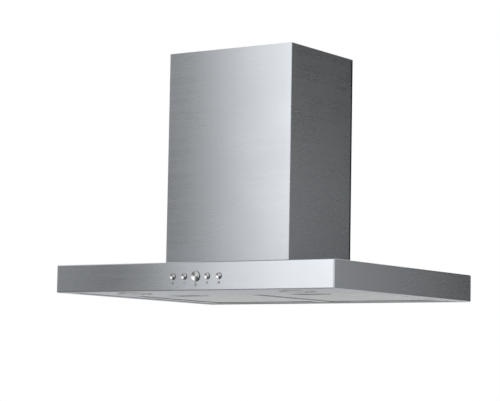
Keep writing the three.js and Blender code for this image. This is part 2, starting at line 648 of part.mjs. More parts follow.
class Helix extends THREE.Curve {
  constructor(x) {
    super();
    this.x = x;
  }

  getPoint(t, target = new THREE.Vector3()) {
    const angle = 2 * Math.PI * SPRING_TURNS * t;
    const along = SPRING_FRONT + SPRING_WIRE + t * (SPRING_LENGTH - 2 * SPRING_WIRE);
    return target.set(this.x + SPRING_RADIUS * Math.cos(angle), along, BUTTON_Z + SPRING_RADIUS * Math.sin(angle));
  }
}

function buttonSpring({ x }) {
  return bar(new Helix(x), SPRING_WIRE, Math.round(STEPS_PER_TURN * SPRING_TURNS), SIDES_WIRE);
}

const CARRIER_X = [BUTTON_ROW[0].x - CARRIER_MARGIN, BUTTON_ROW.at(-1).x + CARRIER_MARGIN];
const CARRIER_Z = [BUTTON_Z - CARRIER_HEIGHT / 2, BUTTON_Z + CARRIER_HEIGHT / 2];

function inner([from, to], by) {
  return [from + by, to - by];
}

function controlCarrier() {
  const front = CANOPY_FRONT + CANOPY_SHEET + FIT;
  const back = BOARD_BACK + FIT;
  const seat = CARRIER_WALL - BOARD_LEDGE / 2;
  const pocket = CARRIER_WALL + BOARD_LEDGE;
  return cut(
    block(CARRIER_X, [front, back], CARRIER_Z),
    block(inner(CARRIER_X, CARRIER_WALL), [front - OVER, CARRIER_PLATE_FRONT], inner(CARRIER_Z, CARRIER_WALL)),
    block(inner(CARRIER_X, pocket), [CARRIER_PLATE_BACK, back + OVER], inner(CARRIER_Z, pocket)),
    block(inner(CARRIER_X, seat), [BOARD_FRONT - FIT, back + OVER], inner(CARRIER_Z, seat)),
    ...BUTTON_ROW.map(({ x }) =>
      rod('y', BUTTON_STEM_RADIUS + RUN, [CARRIER_PLATE_FRONT - OVER, CARRIER_PLATE_BACK + OVER],
        [x, BUTTON_Z])),
  );
}

function controlBoard() {
  const seat = CARRIER_WALL - BOARD_LEDGE / 2 + FIT;
  const half = SWITCH_SIZE / 2;
  return join(
    block(inner(CARRIER_X, seat), [BOARD_FRONT, BOARD_BACK], inner(CARRIER_Z, seat)),
    ...BUTTON_ROW.map(({ x }) =>
      block([x - half, x + half], [SWITCH_FRONT, BOARD_FRONT + BOARD_THICKNESS / 2],
        [BUTTON_Z - half, BUTTON_Z + half])),
  );
}

// ---------------------------------------------------------------- motor box

const CONTROL_CABLE_Y = CHIMNEY_MIDDLE - CONTROL_CABLE_SETBACK;
const CONTROL_CABLE_X = MOTOR_CABLE_X;

function cableHole(radius, [x, y], heights) {
  return rod('z', radius + FIT, heights, [x, y]);
}

function floorCableHoles(heights) {
  return [
    cableHole(MOTOR_CABLE_RADIUS, [MOTOR_CABLE_X, FAN_Y], heights),
    cableHole(CABLE_RADIUS, [CONTROL_CABLE_X, CONTROL_CABLE_Y], heights),
  ];
}

function motorBox() {
  return cut(
    chimneyBlock(MOTOR_BOX_INSET, [BOX_BOTTOM, BOX_TOP]),
    chimneyBlock(MOTOR_BOX_INSET + MOTOR_BOX_SHEET, [BOX_BOTTOM + MOTOR_BOX_SHEET, BOX_TOP - MOTOR_BOX_SHEET]),
    chimneyBlock(MOTOR_BOX_INSET + MOTOR_BOX_FLANGE, [BOX_BOTTOM - OVER, BOX_BOTTOM + MOTOR_BOX_SHEET + OVER]),
    rod('z', COLLAR_BORE, [BOX_TOP - MOTOR_BOX_SHEET - OVER, BOX_TOP + OVER], [COLLAR_X, COLLAR_Y], SIDES_LARGE),
    ...floorCableHoles([BOX_TOP - MOTOR_BOX_SHEET - OVER, BOX_TOP + OVER]),
  );
}

// ---------------------------------------------------------------- blower

// The scroll's inside, or its outside when grown by the wall, between two places along the fan's axis.
function scrollSolid(growth, span, top) {
  const outline = [];
  for (let step = 0; step <= SCROLL_STEPS; step += 1) {
    const angle = TONGUE_ANGLE + ((360 - TONGUE_ANGLE) * step) / SCROLL_STEPS;
    const radius = scrollRadius(angle) + growth;
    outline.push([FAN_Y + radius * Math.cos(radians(angle)), FAN_Z + radius * Math.sin(radians(angle))]);
  }
  const tongueY = FAN_Y + scrollRadius(TONGUE_ANGLE) * Math.cos(radians(TONGUE_ANGLE));
  const backY = FAN_Y + scrollRadius(360);
  return join(
    extruded('x', outline, span),
    block(span, [tongueY - growth, backY + growth], [FAN_Z, top]),
  );
}

function scrollHalf(side) {
  const plate = side < 0 ? SCROLL_LEFT : SCROLL_RIGHT;
  const seam = SCROLL_MIDDLE + (side * FIT) / 2;
  const ordered = (a, b) => (a < b ? [a, b] : [b, a]);
  const tongueY = FAN_Y + scrollRadius(TONGUE_ANGLE) * Math.cos(radians(TONGUE_ANGLE));
  const flange = block(ordered(plate + side * SCROLL_FLANGE, plate - side * SCROLL_WALL),
    [tongueY, FAN_Y + scrollRadius(360)], [SCROLL_TOP - SCROLL_WALL, SCROLL_TOP]);
  return cut(
    join(scrollSolid(SCROLL_WALL, ordered(plate, seam), SCROLL_TOP), flange),
    scrollSolid(0, ordered(plate - side * SCROLL_WALL, seam - side * OVER), SCROLL_TOP + OVER),
    rod('x', INLET_RADIUS, ordered(plate + side * OVER, plate - side * (SCROLL_WALL + OVER)), [FAN_Y, FAN_Z],
      SIDES_LARGE),
  );
}

function fanPoint(radius, angle) {
  return [FAN_Y + radius * Math.cos(radians(angle)), FAN_Z + radius * Math.sin(radians(angle))];
}

function blade(place) {
  const root = ROTOR_RADIUS - BLADE_DEPTH;
  const start = (360 * place) / BLADE_COUNT;
  const line = [0, 0.5, 1].map((t) => ({
    radius: root + t * (BLADE_DEPTH - BLADE_SHEET / 2),
    angle: start + BLADE_LEAN * t * t,
  }));
  const halfAngle = (radius) => THREE.MathUtils.radToDeg(BLADE_SHEET / 2 / radius);
  const lead = line.map(({ radius, angle }) => fanPoint(radius, angle + halfAngle(radius)));
  const trail = line.map(({ radius, angle }) => fanPoint(radius, angle - halfAngle(radius))).reverse();
  return extruded('x', [...lead, ...trail], [ROTOR_LEFT, ROTOR_RIGHT]);
}

function fanRotor() {
  const ring = (from) =>
    cut(
      rod('x', ROTOR_RADIUS, [from, from + ROTOR_RING_THICKNESS], [FAN_Y, FAN_Z], SIDES_LARGE),
      rod('x', ROTOR_RADIUS - ROTOR_RING, [from - OVER, from + ROTOR_RING_THICKNESS + OVER], [FAN_Y, FAN_Z],
        SIDES_LARGE),
    );
  const disc = rod('x', ROTOR_RADIUS - ROTOR_RING / 2,
    [SCROLL_MIDDLE - ROTOR_DISC_THICKNESS / 2, SCROLL_MIDDLE + ROTOR_DISC_THICKNESS / 2], [FAN_Y, FAN_Z],
    SIDES_LARGE);
  const hubEnds = [SCROLL_MIDDLE - HUB_LENGTH / 2, SCROLL_MIDDLE + HUB_LENGTH / 2];
  const blades = Array.from({ length: BLADE_COUNT }, (_, place) => blade(place));
  return cut(
    join(disc, ring(ROTOR_LEFT), ring(ROTOR_RIGHT - ROTOR_RING_THICKNESS), ...blades,
      rod('x', HUB_RADIUS, hubEnds, [FAN_Y, FAN_Z])),
    rod('x', SHAFT_RADIUS + FIT, [hubEnds[0] - OVER, hubEnds[1] + OVER], [FAN_Y, FAN_Z]),
  );
}

function motorShaft() {
  const from = SCROLL_MIDDLE - HUB_LENGTH / 2 - SHAFT_FREE_END;
  return rod('x', SHAFT_RADIUS, [from, MOTOR_LEFT + BEARING_DEPTH], [FAN_Y, FAN_Z]);
}

function motorBody() {
  const front = MOTOR_LEFT;
  const back = MOTOR_LEFT + MOTOR_LENGTH;
  const bore = SHAFT_RADIUS + RUN;
  const chamfer = BRACKET_RING;
  return turned('x', [
    [bore, front - MOTOR_BOSS_LENGTH],
    [MOTOR_BOSS_RADIUS, front - MOTOR_BOSS_LENGTH],
    [MOTOR_BOSS_RADIUS, front],
    [MOTOR_RADIUS - chamfer, front],
    [MOTOR_RADIUS, front + chamfer],
    [MOTOR_RADIUS, back - chamfer],
    [MOTOR_RADIUS - chamfer, back],
    [0, back],
    [0, front + BEARING_DEPTH + RUN],
    [bore, front + BEARING_DEPTH + RUN],
    [bore, front - MOTOR_BOSS_LENGTH],
  ], [FAN_Y, FAN_Z]);
}

// A ring round the motor with three arms, whose feet stand on the scroll's side plate.
function motorBracket() {
  const ringInside = MOTOR_RADIUS + FIT;
  const ringFrom = MOTOR_LEFT + BRACKET_RING;
  const ringTo = ringFrom + BRACKET_WIDTH;
  const footFrom = SCROLL_RIGHT + FIT;
  const footFar = INLET_RADIUS + BRACKET_FOOT_OUTSET;
  const arm = (angle) => {
    const half = BRACKET_ARM_WIDTH / 2;
    const turn = (shape) => shape.translate([0, -FAN_Y, -FAN_Z]).rotate([angle, 0, 0]).translate([0, FAN_Y, FAN_Z]);
    const reach = block([ringTo - BRACKET_RING, ringTo],
      [FAN_Y + ringInside + BRACKET_RING / 2, FAN_Y + footFar], [FAN_Z - half, FAN_Z + half]);
    const foot = block([footFrom, ringTo], [FAN_Y + footFar - BRACKET_FOOT, FAN_Y + footFar],
      [FAN_Z - half, FAN_Z + half]);
    return turn(join(reach, foot));
  };
  const ring = cut(
    rod('x', ringInside + BRACKET_RING, [ringFrom, ringTo], [FAN_Y, FAN_Z], SIDES_MEDIUM),
    rod('x', ringInside, [ringFrom - OVER, ringTo + OVER], [FAN_Y, FAN_Z], SIDES_MEDIUM),
  );
  return join(ring, ...[90, 210, 330].map(arm));
}

// ---------------------------------------------------------------- outlet collar and its flaps

function outletCollar() {
  const top = COLLAR_BOTTOM + COLLAR_HEIGHT;
  const ledgeTop = FLAP_Z - FLAP_SHEET / 2 - RUN;
  const centre = [COLLAR_X, COLLAR_Y];
  const collar = turned('z', [
    [COLLAR_BORE, COLLAR_BOTTOM],
    [COLLAR_RADIUS + COLLAR_FLANGE, COLLAR_BOTTOM],
    [COLLAR_RADIUS + COLLAR_FLANGE, COLLAR_BOTTOM + COLLAR_WALL],
    [COLLAR_RADIUS, COLLAR_BOTTOM + COLLAR_WALL],
    [COLLAR_RADIUS, top],
    [COLLAR_BORE, top],
    [COLLAR_BORE, COLLAR_BOTTOM],
  ], centre, SIDES_LARGE);
  const ledge = cut(
    turned('z', [
      [COLLAR_BORE - FLAP_LEDGE, ledgeTop - FLAP_SHEET],
      [COLLAR_BORE + COLLAR_WALL / 2, ledgeTop - FLAP_SHEET],
      [COLLAR_BORE + COLLAR_WALL / 2, ledgeTop],
      [COLLAR_BORE - FLAP_LEDGE, ledgeTop],
      [COLLAR_BORE - FLAP_LEDGE, ledgeTop - FLAP_SHEET],
    ], centre, SIDES_LARGE),
    block([COLLAR_X - COLLAR_RADIUS, COLLAR_X + COLLAR_RADIUS],
      [COLLAR_Y - FLAP_LEDGE_NOTCH, COLLAR_Y + FLAP_LEDGE_NOTCH], [ledgeTop - FLAP_SHEET - OVER, ledgeTop + OVER]),
  );
  const pinHole = (side) => rod('x', FLAP_PIN_RADIUS + RUN, [COLLAR_X - COLLAR_RADIUS - OVER,
    COLLAR_X + COLLAR_RADIUS + OVER], [COLLAR_Y + side * FLAP_AXIS_OFFSET, FLAP_Z]);
  return cut(join(collar, ledge), pinHole(-1), pinHole(1));
}

function outletFlap(side) {
  const axisY = COLLAR_Y + side * FLAP_AXIS_OFFSET;
  const radius = COLLAR_BORE - FLAP_GAP;
  const chord = Math.sqrt(radius ** 2 - (FLAP_AXIS_OFFSET + FLAP_BARREL_RADIUS) ** 2);
  const disc = rod('z', radius, [FLAP_Z - FLAP_SHEET / 2, FLAP_Z + FLAP_SHEET / 2], [COLLAR_X, COLLAR_Y],
    SIDES_LARGE);
  const otherHalf = side > 0
    ? [COLLAR_Y - COLLAR_RADIUS, axisY]
    : [axisY, COLLAR_Y + COLLAR_RADIUS];
  return join(
    cut(disc, block([COLLAR_X - COLLAR_RADIUS, COLLAR_X + COLLAR_RADIUS], otherHalf,
      [FLAP_Z - FLAP_SHEET, FLAP_Z + FLAP_SHEET])),
    rod('x', FLAP_BARREL_RADIUS, [COLLAR_X - chord, COLLAR_X + chord], [axisY, FLAP_Z], SIDES_CABLE),
    rod('x', FLAP_PIN_RADIUS, [COLLAR_X - COLLAR_RADIUS + FIT, COLLAR_X + COLLAR_RADIUS - FIT],
      [axisY, FLAP_Z], SIDES_CABLE),
  );
}

// ---------------------------------------------------------------- power box

const POWER_BOX_X = [POWER_BOX_LEFT, POWER_BOX_RIGHT];
const POWER_BOX_Y = [POWER_BOX_MIDDLE - POWER_BOX_DEPTH / 2, POWER_BOX_MIDDLE + POWER_BOX_DEPTH / 2];
const GLAND_X = POWER_BOX_LEFT + POWER_BOX_WIDTH / 3;
const GLAND_Z = POWER_BOX_BOTTOM + POWER_BOX_HEIGHT / 2;

function powerBox() {
  return cut(
    block(POWER_BOX_X, POWER_BOX_Y, [POWER_BOX_BOTTOM, POWER_BOX_TOP]),
    block(inner(POWER_BOX_X, POWER_BOX_WALL), inner(POWER_BOX_Y, POWER_BOX_WALL),
      [POWER_BOX_BOTTOM + POWER_BOX_WALL, POWER_BOX_TOP + OVER]),
    rod('y', GLAND_THREAD_RADIUS + FIT, [POWER_BOX_Y[1] - POWER_BOX_WALL - OVER, POWER_BOX_Y[1] + OVER],
      [GLAND_X, GLAND_Z]),
    ...floorCableHoles([POWER_BOX_BOTTOM - OVER, POWER_BOX_BOTTOM + POWER_BOX_WALL + OVER]),
  );
}

function powerBoxCover() {
  const rimOutside = POWER_BOX_WALL + FIT;
  const rimInside = 2 * POWER_BOX_WALL + FIT;
  const bottom = POWER_BOX_TOP + FIT;
  return cut(
    join(
      block(POWER_BOX_X, POWER_BOX_Y, [bottom, bottom + POWER_COVER_SHEET]),
      block(inner(POWER_BOX_X, rimOutside), inner(POWER_BOX_Y, rimOutside),
        [bottom - POWER_COVER_RIM, bottom + POWER_COVER_SHEET / 2]),
    ),
    block(inner(POWER_BOX_X, rimInside), inner(POWER_BOX_Y, rimInside), [bottom - POWER_COVER_RIM - OVER, bottom]),
  );
}

function capacitor() {
  const x = POWER_BOX_RIGHT - POWER_BOX_WALL - FIT - CAPACITOR_RADIUS;
  const z = POWER_BOX_BOTTOM + POWER_BOX_WALL + FIT + CAPACITOR_RADIUS;
  const ends = [POWER_BOX_MIDDLE - CAPACITOR_LENGTH / 2, POWER_BOX_MIDDLE + CAPACITOR_LENGTH / 2];
  return rod('y', CAPACITOR_RADIUS, ends, [x, z], SIDES_MEDIUM);
}

function cableGland() {
  const wall = POWER_BOX_Y[1];
  const inside = wall - POWER_BOX_WALL - GLAND_NUT_LENGTH;
  return turned('y', [
    [GLAND_BORE_RADIUS, inside],
    [GLAND_THREAD_RADIUS, inside],
    [GLAND_THREAD_RADIUS, wall + FIT],
    [GLAND_NUT_RADIUS, wall + FIT],
    [GLAND_NUT_RADIUS, wall + FIT + GLAND_NUT_LENGTH],
    [GLAND_BORE_RADIUS + POWER_BOX_WALL, wall + GLAND_DOME_LENGTH],
    [GLAND_BORE_RADIUS, wall + GLAND_DOME_LENGTH],
    [GLAND_BORE_RADIUS, inside],
  ], [GLAND_X, GLAND_Z], SIDES_SMALL);
}

// ---------------------------------------------------------------- cables

function cable(points, radius = CABLE_RADIUS, steps = CABLE_STEPS) {
  const curve = new THREE.CatmullRomCurve3(points.map((point) => new THREE.Vector3(...point)));
  return bar(curve, radius, steps, SIDES_CABLE);
}

const BOARD_REAR = BOARD_BACK + RUN;
const CABLE_LEVEL = CANOPY_TOP_UNDERSIDE - 7;
const CABLE_ENTRY = POWER_BOX_BOTTOM + POWER_BOX_WALL + 4;

function lampCable(side) {
  const [x, y] = lampCentre(side);
  const boardX = CONTROLS_OFFSET + side * 1.9 * BUTTON_PITCH;
  return cable([
    [x, y, CUP_TOP + RUN],
    [x, y, CUP_TOP + 6],
    [x - side * 4, y - 3, CABLE_LEVEL - 2],
    [x - side * 16, y - 12, CABLE_LEVEL],
    [(x + boardX) / 2 + side * 10, BOARD_REAR + 22, CABLE_LEVEL],
    [boardX + side * 12, BOARD_REAR + 14, CABLE_LEVEL - 4],
    [boardX, BOARD_REAR + 6, BUTTON_Z],
    [boardX, BOARD_REAR, BUTTON_Z],
  ]);
}

function controlCable() {
  const x = CONTROLS_OFFSET + BUTTON_PITCH;
  return cable([
    [x, BOARD_REAR, BUTTON_Z],
    [x, BOARD_REAR + 6, BUTTON_Z],
    [x + 4, BOARD_REAR + 28, CABLE_LEVEL - 4],
    [x + 14, (BOARD_REAR + CONTROL_CABLE_Y) / 2, CABLE_LEVEL],
    [CONTROL_CABLE_X - 4, CONTROL_CABLE_Y - 16, CABLE_LEVEL + 1],
    [CONTROL_CABLE_X, CONTROL_CABLE_Y - 2, CANOPY_HEIGHT + 12],
    [CONTROL_CABLE_X, CONTROL_CABLE_Y, CANOPY_HEIGHT + 50],
    [CONTROL_CABLE_X, CONTROL_CABLE_Y, BOX_TOP - 40],
    [CONTROL_CABLE_X, CONTROL_CABLE_Y, CABLE_ENTRY],
  ], CABLE_RADIUS, 2 * CABLE_STEPS);
}

function motorCable() {
  return cable([
    [MOTOR_CABLE_X, FAN_Y, FAN_Z + MOTOR_RADIUS + RUN],
    [MOTOR_CABLE_X, FAN_Y, FAN_Z + MOTOR_RADIUS + 20],
    [MOTOR_CABLE_X + 3, FAN_Y, BOX_TOP - 60],
    [MOTOR_CABLE_X, FAN_Y, BOX_TOP - 20],
    [MOTOR_CABLE_X, FAN_Y, CABLE_ENTRY],
  ], MOTOR_CABLE_RADIUS);
}

// ---------------------------------------------------------------- chimney covers

// Front face and both sides, open at the back.
function frontCover(inset, sheet, [bottom, top]) {
  const plan = chimneyPlan(inset);
  const back = plan.y[1] - REAR_COVER_EDGE;
  return cut(
    block(plan.x, [plan.y[0], back], [bottom, top]),
    block(inner(plan.x, sheet), [plan.y[0] + sheet, back + OVER], [bottom - OVER, top + OVER]),
  );
}

// Back face with two short side flanges, which lie inside the front cover's faces by the step.
function rearCover(inset, sheet, step, [bottom, top]) {
  const plan = chimneyPlan(inset);
  const front = plan.y[1] - REAR_COVER_EDGE + FIT;
  return cut(
    block(inner(plan.x, step), [front, plan.y[1]], [bottom, top]),
    block(inner(plan.x, step + sheet), [front - OVER, plan.y[1] - sheet], [bottom - OVER, top + OVER]),
  );
}

const LOWER_COVER_HEIGHTS = [CANOPY_HEIGHT + FIT, HOOD_TOP];
const UPPER_COVER_HEIGHTS = [CANOPY_HEIGHT + FIT + RUN, HOOD_TOP];

function upperFrontCover() {
  const shell = frontCover(UPPER_COVER_INSET, UPPER_COVER_SHEET, UPPER_COVER_HEIGHTS);
  const reach = CHIMNEY_WIDTH / 2 + OVER;
  const vents = Array.from({ length: VENT_COUNT }, (_, place) => {
    const top = HOOD_TOP - VENT_FROM_TOP - place * VENT_PITCH;
    return block([-reach, reach], [CHIMNEY_MIDDLE - VENT_LENGTH / 2, CHIMNEY_MIDDLE + VENT_LENGTH / 2],
      [top - VENT_HEIGHT, top]);
  });
  return cut(shell, ...vents);
}

// ---------------------------------------------------------------- posts and ceiling plate

// An angle post in one corner of the chimney: sideX and sideY are -1 or 1.
function cornerPost(inset, sideX, sideY, heights) {
  const plan = chimneyPlan(inset);
  const [cornerX, cornerY] = [plan.x[sideX > 0 ? 1 : 0], plan.y[sideY > 0 ? 1 : 0]];
  const span = (corner, side, length) => (side > 0 ? [corner - length, corner] : [corner, corner + length]);
  return cut(
    block(span(cornerX, sideX, POST_LEG), span(cornerY, sideY, POST_LEG), heights),
    block(span(cornerX - sideX * POST_SHEET, sideX, POST_LEG), span(cornerY - sideY * POST_SHEET, sideY, POST_LEG),
      [heights[0] - OVER, heights[1] + OVER]),
  );
}

const PLATE_BOTTOM = HOOD_TOP - PLATE_SHEET;

function ceilingPlate() {
  const plan = chimneyPlan(UPPER_POST_INSET);
  const flangeReach = plan.x[1] - POST_LEG - FIT;
  const openingHalf = PLATE_OPENING_WIDTH / 2;
  const openingY = [CHIMNEY_MIDDLE - PLATE_OPENING_DEPTH / 2, CHIMNEY_MIDDLE + PLATE_OPENING_DEPTH / 2];
  const frontFlange = block([-flangeReach, flangeReach], [plan.y[0], plan.y[0] + POST_SHEET],
    [HOOD_TOP - PLATE_FLANGE, PLATE_BOTTOM + OVER]);
  const backFlange = block([-flangeReach, flangeReach], [plan.y[1] - POST_SHEET, plan.y[1]],
    [HOOD_TOP - PLATE_FLANGE, PLATE_BOTTOM + OVER]);
  const slots = [-1, 1].flatMap((sideX) => [
    plan.y[0] + ANCHOR_SLOT_INSET,
    plan.y[1] - ANCHOR_SLOT_INSET,
  ].map((y) => {
    const x = (sideX * ANCHOR_SLOT_SPACING) / 2;
    return block([x - ANCHOR_SLOT_LENGTH / 2, x + ANCHOR_SLOT_LENGTH / 2],
      [y - ANCHOR_SLOT_WIDTH / 2, y + ANCHOR_SLOT_WIDTH / 2], [PLATE_BOTTOM - OVER, HOOD_TOP + OVER]);
  }));
  return cut(
    join(block(plan.x, plan.y, [PLATE_BOTTOM, HOOD_TOP]), frontFlange, backFlange),
    block([-openingHalf, openingHalf], openingY, [PLATE_BOTTOM - OVER, HOOD_TOP + OVER]),
    ...slots,
  );
}

// ---------------------------------------------------------------- assembly

const SIDES = [['left', -1], ['right', 1]];
const CORNERS = SIDES.flatMap(([acrossName, across]) => [
  [`front_${acrossName}`, across, -1],
  [`back_${acrossName}`, across, 1],
]);

function canopyGroup() {
  return [
    piece('canopy_shell', canopyShell(), BRUSHED_STEEL),
    piece('underside_panel', undersidePanel(), BRUSHED_STEEL),
    piece('filter_rail', filterRail(), BRUSHED_STEEL),
    ...SIDES.flatMap(([name, side]) => [
      piece(`lamp_bezel_${name}`, lampBezel(side), CHROME),
      piece(`lamp_lens_${name}`, lampLens(side), FROSTED_GLASS),
      piece(`lamp_housing_${name}`, lampHousing(side), ALUMINIUM),
      piece(`lamp_cable_${name}`, lampCable(side), CABLE_SHEATH),
    ]),
  ];
}

function controlsGroup() {
  return [
    piece('control_carrier', controlCarrier(), BLACK_PLASTIC),
    piece('control_board', controlBoard(), BOARD_GREEN),
    piece('control_cable', controlCable(), CABLE_SHEATH),
    ...BUTTON_ROW.flatMap((button) => [
      piece(`${button.name}_button`, pushButton(button), CHROME),
      piece(`${button.name}_button_spring`, buttonSpring(button), SPRING_STEEL),
    ]),
  ];
}

function filtersGroup() {
  return SIDES.flatMap(([name, side]) => [
    piece(`filter_frame_${name}`, filterFrame(side), ALUMINIUM),
    piece(`filter_pad_${name}`, filterPad(side), ALUMINIUM),
    piece(`filter_handle_${name}`, filterHandle(side), GREY_PLASTIC),
    piece(`filter_latch_${name}`, filterLatch(side), GREY_PLASTIC),
  ]);
}

function blowerGroup() {
  return [
    piece('motor_box', motorBox(), GALVANISED),
    piece('blower_scroll_left', scrollHalf(-1), BLACK_PLASTIC),
    piece('blower_scroll_right', scrollHalf(1), BLACK_PLASTIC),
    piece('fan_rotor', fanRotor(), WHITE_PLASTIC),
    piece('motor_shaft', motorShaft(), SPRING_STEEL),
    piece('motor_body', motorBody(), MOTOR_STEEL),
    piece('motor_bracket', motorBracket(), GALVANISED),
    piece('motor_cable', motorCable(), CABLE_SHEATH),
    piece('outlet_collar', outletCollar(), BLACK_PLASTIC),
    piece('outlet_flap_front', outletFlap(-1), BLACK_PLASTIC),
    piece('outlet_flap_back', outletFlap(1), BLACK_PLASTIC),
  ];
}

function powerGroup() {
  return [
    piece('power_box', powerBox(), GREY_PLASTIC),
    piece('power_box_cover', powerBoxCover(), GREY_PLASTIC),
    piece('capacitor', capacitor(), WHITE_PLASTIC),
    piece('cable_gland', cableGland(), BLACK_PLASTIC),
  ];
}

function chimneyGroup() {
  const lowerPostHeights = [CANOPY_HEIGHT + FIT, PLATE_BOTTOM - POST_HEADROOM];
  const upperPostHeights = [CANOPY_HEIGHT + POST_HEADROOM, PLATE_BOTTOM - FIT];
  return [
    piece('lower_cover_front', frontCover(0, COVER_SHEET, LOWER_COVER_HEIGHTS), BRUSHED_STEEL),
    piece('lower_cover_rear', rearCover(0, COVER_SHEET, REAR_COVER_STEP, LOWER_COVER_HEIGHTS), BRUSHED_STEEL),
    piece('upper_cover_front', upperFrontCover(), BRUSHED_STEEL),
    piece('upper_cover_rear', rearCover(UPPER_COVER_INSET, UPPER_COVER_SHEET, 0, UPPER_COVER_HEIGHTS),
      BRUSHED_STEEL),
    piece('ceiling_plate', ceilingPlate(), GALVANISED),
    ...CORNERS.flatMap(([name, sideX, sideY]) => [
      piece(`lower_post_${name}`, cornerPost(LOWER_POST_INSET, sideX, sideY, lowerPostHeights), GALVANISED),
      piece(`upper_post_${name}`, cornerPost(UPPER_POST_INSET, sideX, sideY, upperPostHeights), GALVANISED),
    ]),
  ];
}

const hood = new THREE.Group();
hood.add(
  ...canopyGroup(),
  ...controlsGroup(),
  ...filtersGroup(),
  ...blowerGroup(),
  ...powerGroup(),
  ...chimneyGroup(),
);

export default hood;
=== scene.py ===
"""Looks of a chimney range hood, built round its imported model: finishes, fine pieces, studio and camera.

Metres. +Z is up, +X is to the right as seen from the front, and +Y is to the back.
"""

from __future__ import annotations

import json
import logging
import math
from dataclasses import dataclass, field
from enum import Enum, StrEnum
from functools import lru_cache
from typing import Any, Callable, Iterable, Iterator, Sequence

import bmesh
import bpy
from mathutils import Matrix, Vector

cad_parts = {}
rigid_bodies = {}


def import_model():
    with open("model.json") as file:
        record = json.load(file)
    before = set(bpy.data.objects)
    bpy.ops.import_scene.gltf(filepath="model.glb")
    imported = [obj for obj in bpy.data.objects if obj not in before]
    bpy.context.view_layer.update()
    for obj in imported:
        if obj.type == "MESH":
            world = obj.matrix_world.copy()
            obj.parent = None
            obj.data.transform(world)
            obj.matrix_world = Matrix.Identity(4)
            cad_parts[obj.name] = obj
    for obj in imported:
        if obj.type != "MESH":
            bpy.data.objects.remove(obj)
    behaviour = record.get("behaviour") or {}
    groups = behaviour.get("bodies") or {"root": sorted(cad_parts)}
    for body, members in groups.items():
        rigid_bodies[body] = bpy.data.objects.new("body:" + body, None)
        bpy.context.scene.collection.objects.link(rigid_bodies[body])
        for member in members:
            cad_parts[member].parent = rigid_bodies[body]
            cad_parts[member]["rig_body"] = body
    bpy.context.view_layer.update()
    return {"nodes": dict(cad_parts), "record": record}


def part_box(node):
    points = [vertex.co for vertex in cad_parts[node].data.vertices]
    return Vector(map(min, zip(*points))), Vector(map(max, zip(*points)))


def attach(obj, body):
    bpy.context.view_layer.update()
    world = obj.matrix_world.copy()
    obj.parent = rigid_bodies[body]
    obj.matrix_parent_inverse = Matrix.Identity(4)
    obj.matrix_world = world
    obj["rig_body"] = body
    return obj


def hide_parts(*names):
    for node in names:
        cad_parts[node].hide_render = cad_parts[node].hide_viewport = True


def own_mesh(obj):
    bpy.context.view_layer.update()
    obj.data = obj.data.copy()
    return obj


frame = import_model()

log = logging.getLogger("range_hood")

MM = 0.001
MERGE = 2e-6  # corners nearer than this are one corner
TOUCH = 10 * MERGE  # a corner nearer than this to a plane lies on it
FLAT = math.radians(0.5)  # faces that meet at a smaller angle are one flat side
SHARP = math.radians(33.0)  # edges whose faces meet at a larger angle are rounded
NOISE_RANGE = (0.3, 0.7)  # where nearly all of the smooth noise lies
PLANE_MAP = "plane_map"
SLOTS = {part["node"]: part["material_slot"] for part in frame["record"]["subparts"]}

Colour = tuple[float, float, float]
Pair = tuple[float, float]
Outline = Sequence[Pair]
Stops = tuple[Pair, ...]
Corner = tuple[float, float, int, int]
FaceTest = Callable[[bmesh.types.BMFace], bool]
EdgeTest = Callable[[bmesh.types.BMEdge], bool]


class Side(StrEnum):
    """A side of the hood, as the nodes' names say it."""

    LEFT = "left"
    RIGHT = "right"


class Sign(StrEnum):
    """What a button is for, as the nodes' names say it."""

    LIGHT = "light"
    MINUS = "minus"
    POWER = "power"
    PLUS = "plus"
    TIMER = "timer"


class Axis(Enum):
    """An axis of the row frame."""

    X = 0
    Y = 1
    Z = 2

    @property
    def direction(self) -> Vector:
        """The axis as a unit vector."""
        return Vector([float(place == self.value) for place in range(3)])

    @property
    def turn(self) -> Matrix:
        """The turn that lays +Z along this axis."""
        return turn_to(self.direction)


def turn_to(direction: Vector) -> Matrix:
    """The turn that lays +Z along a direction."""
    return Vector((0.0, 0.0, 1.0)).rotation_difference(direction).to_matrix().to_4x4()


# ---------------------------------------------------------------- node graphs


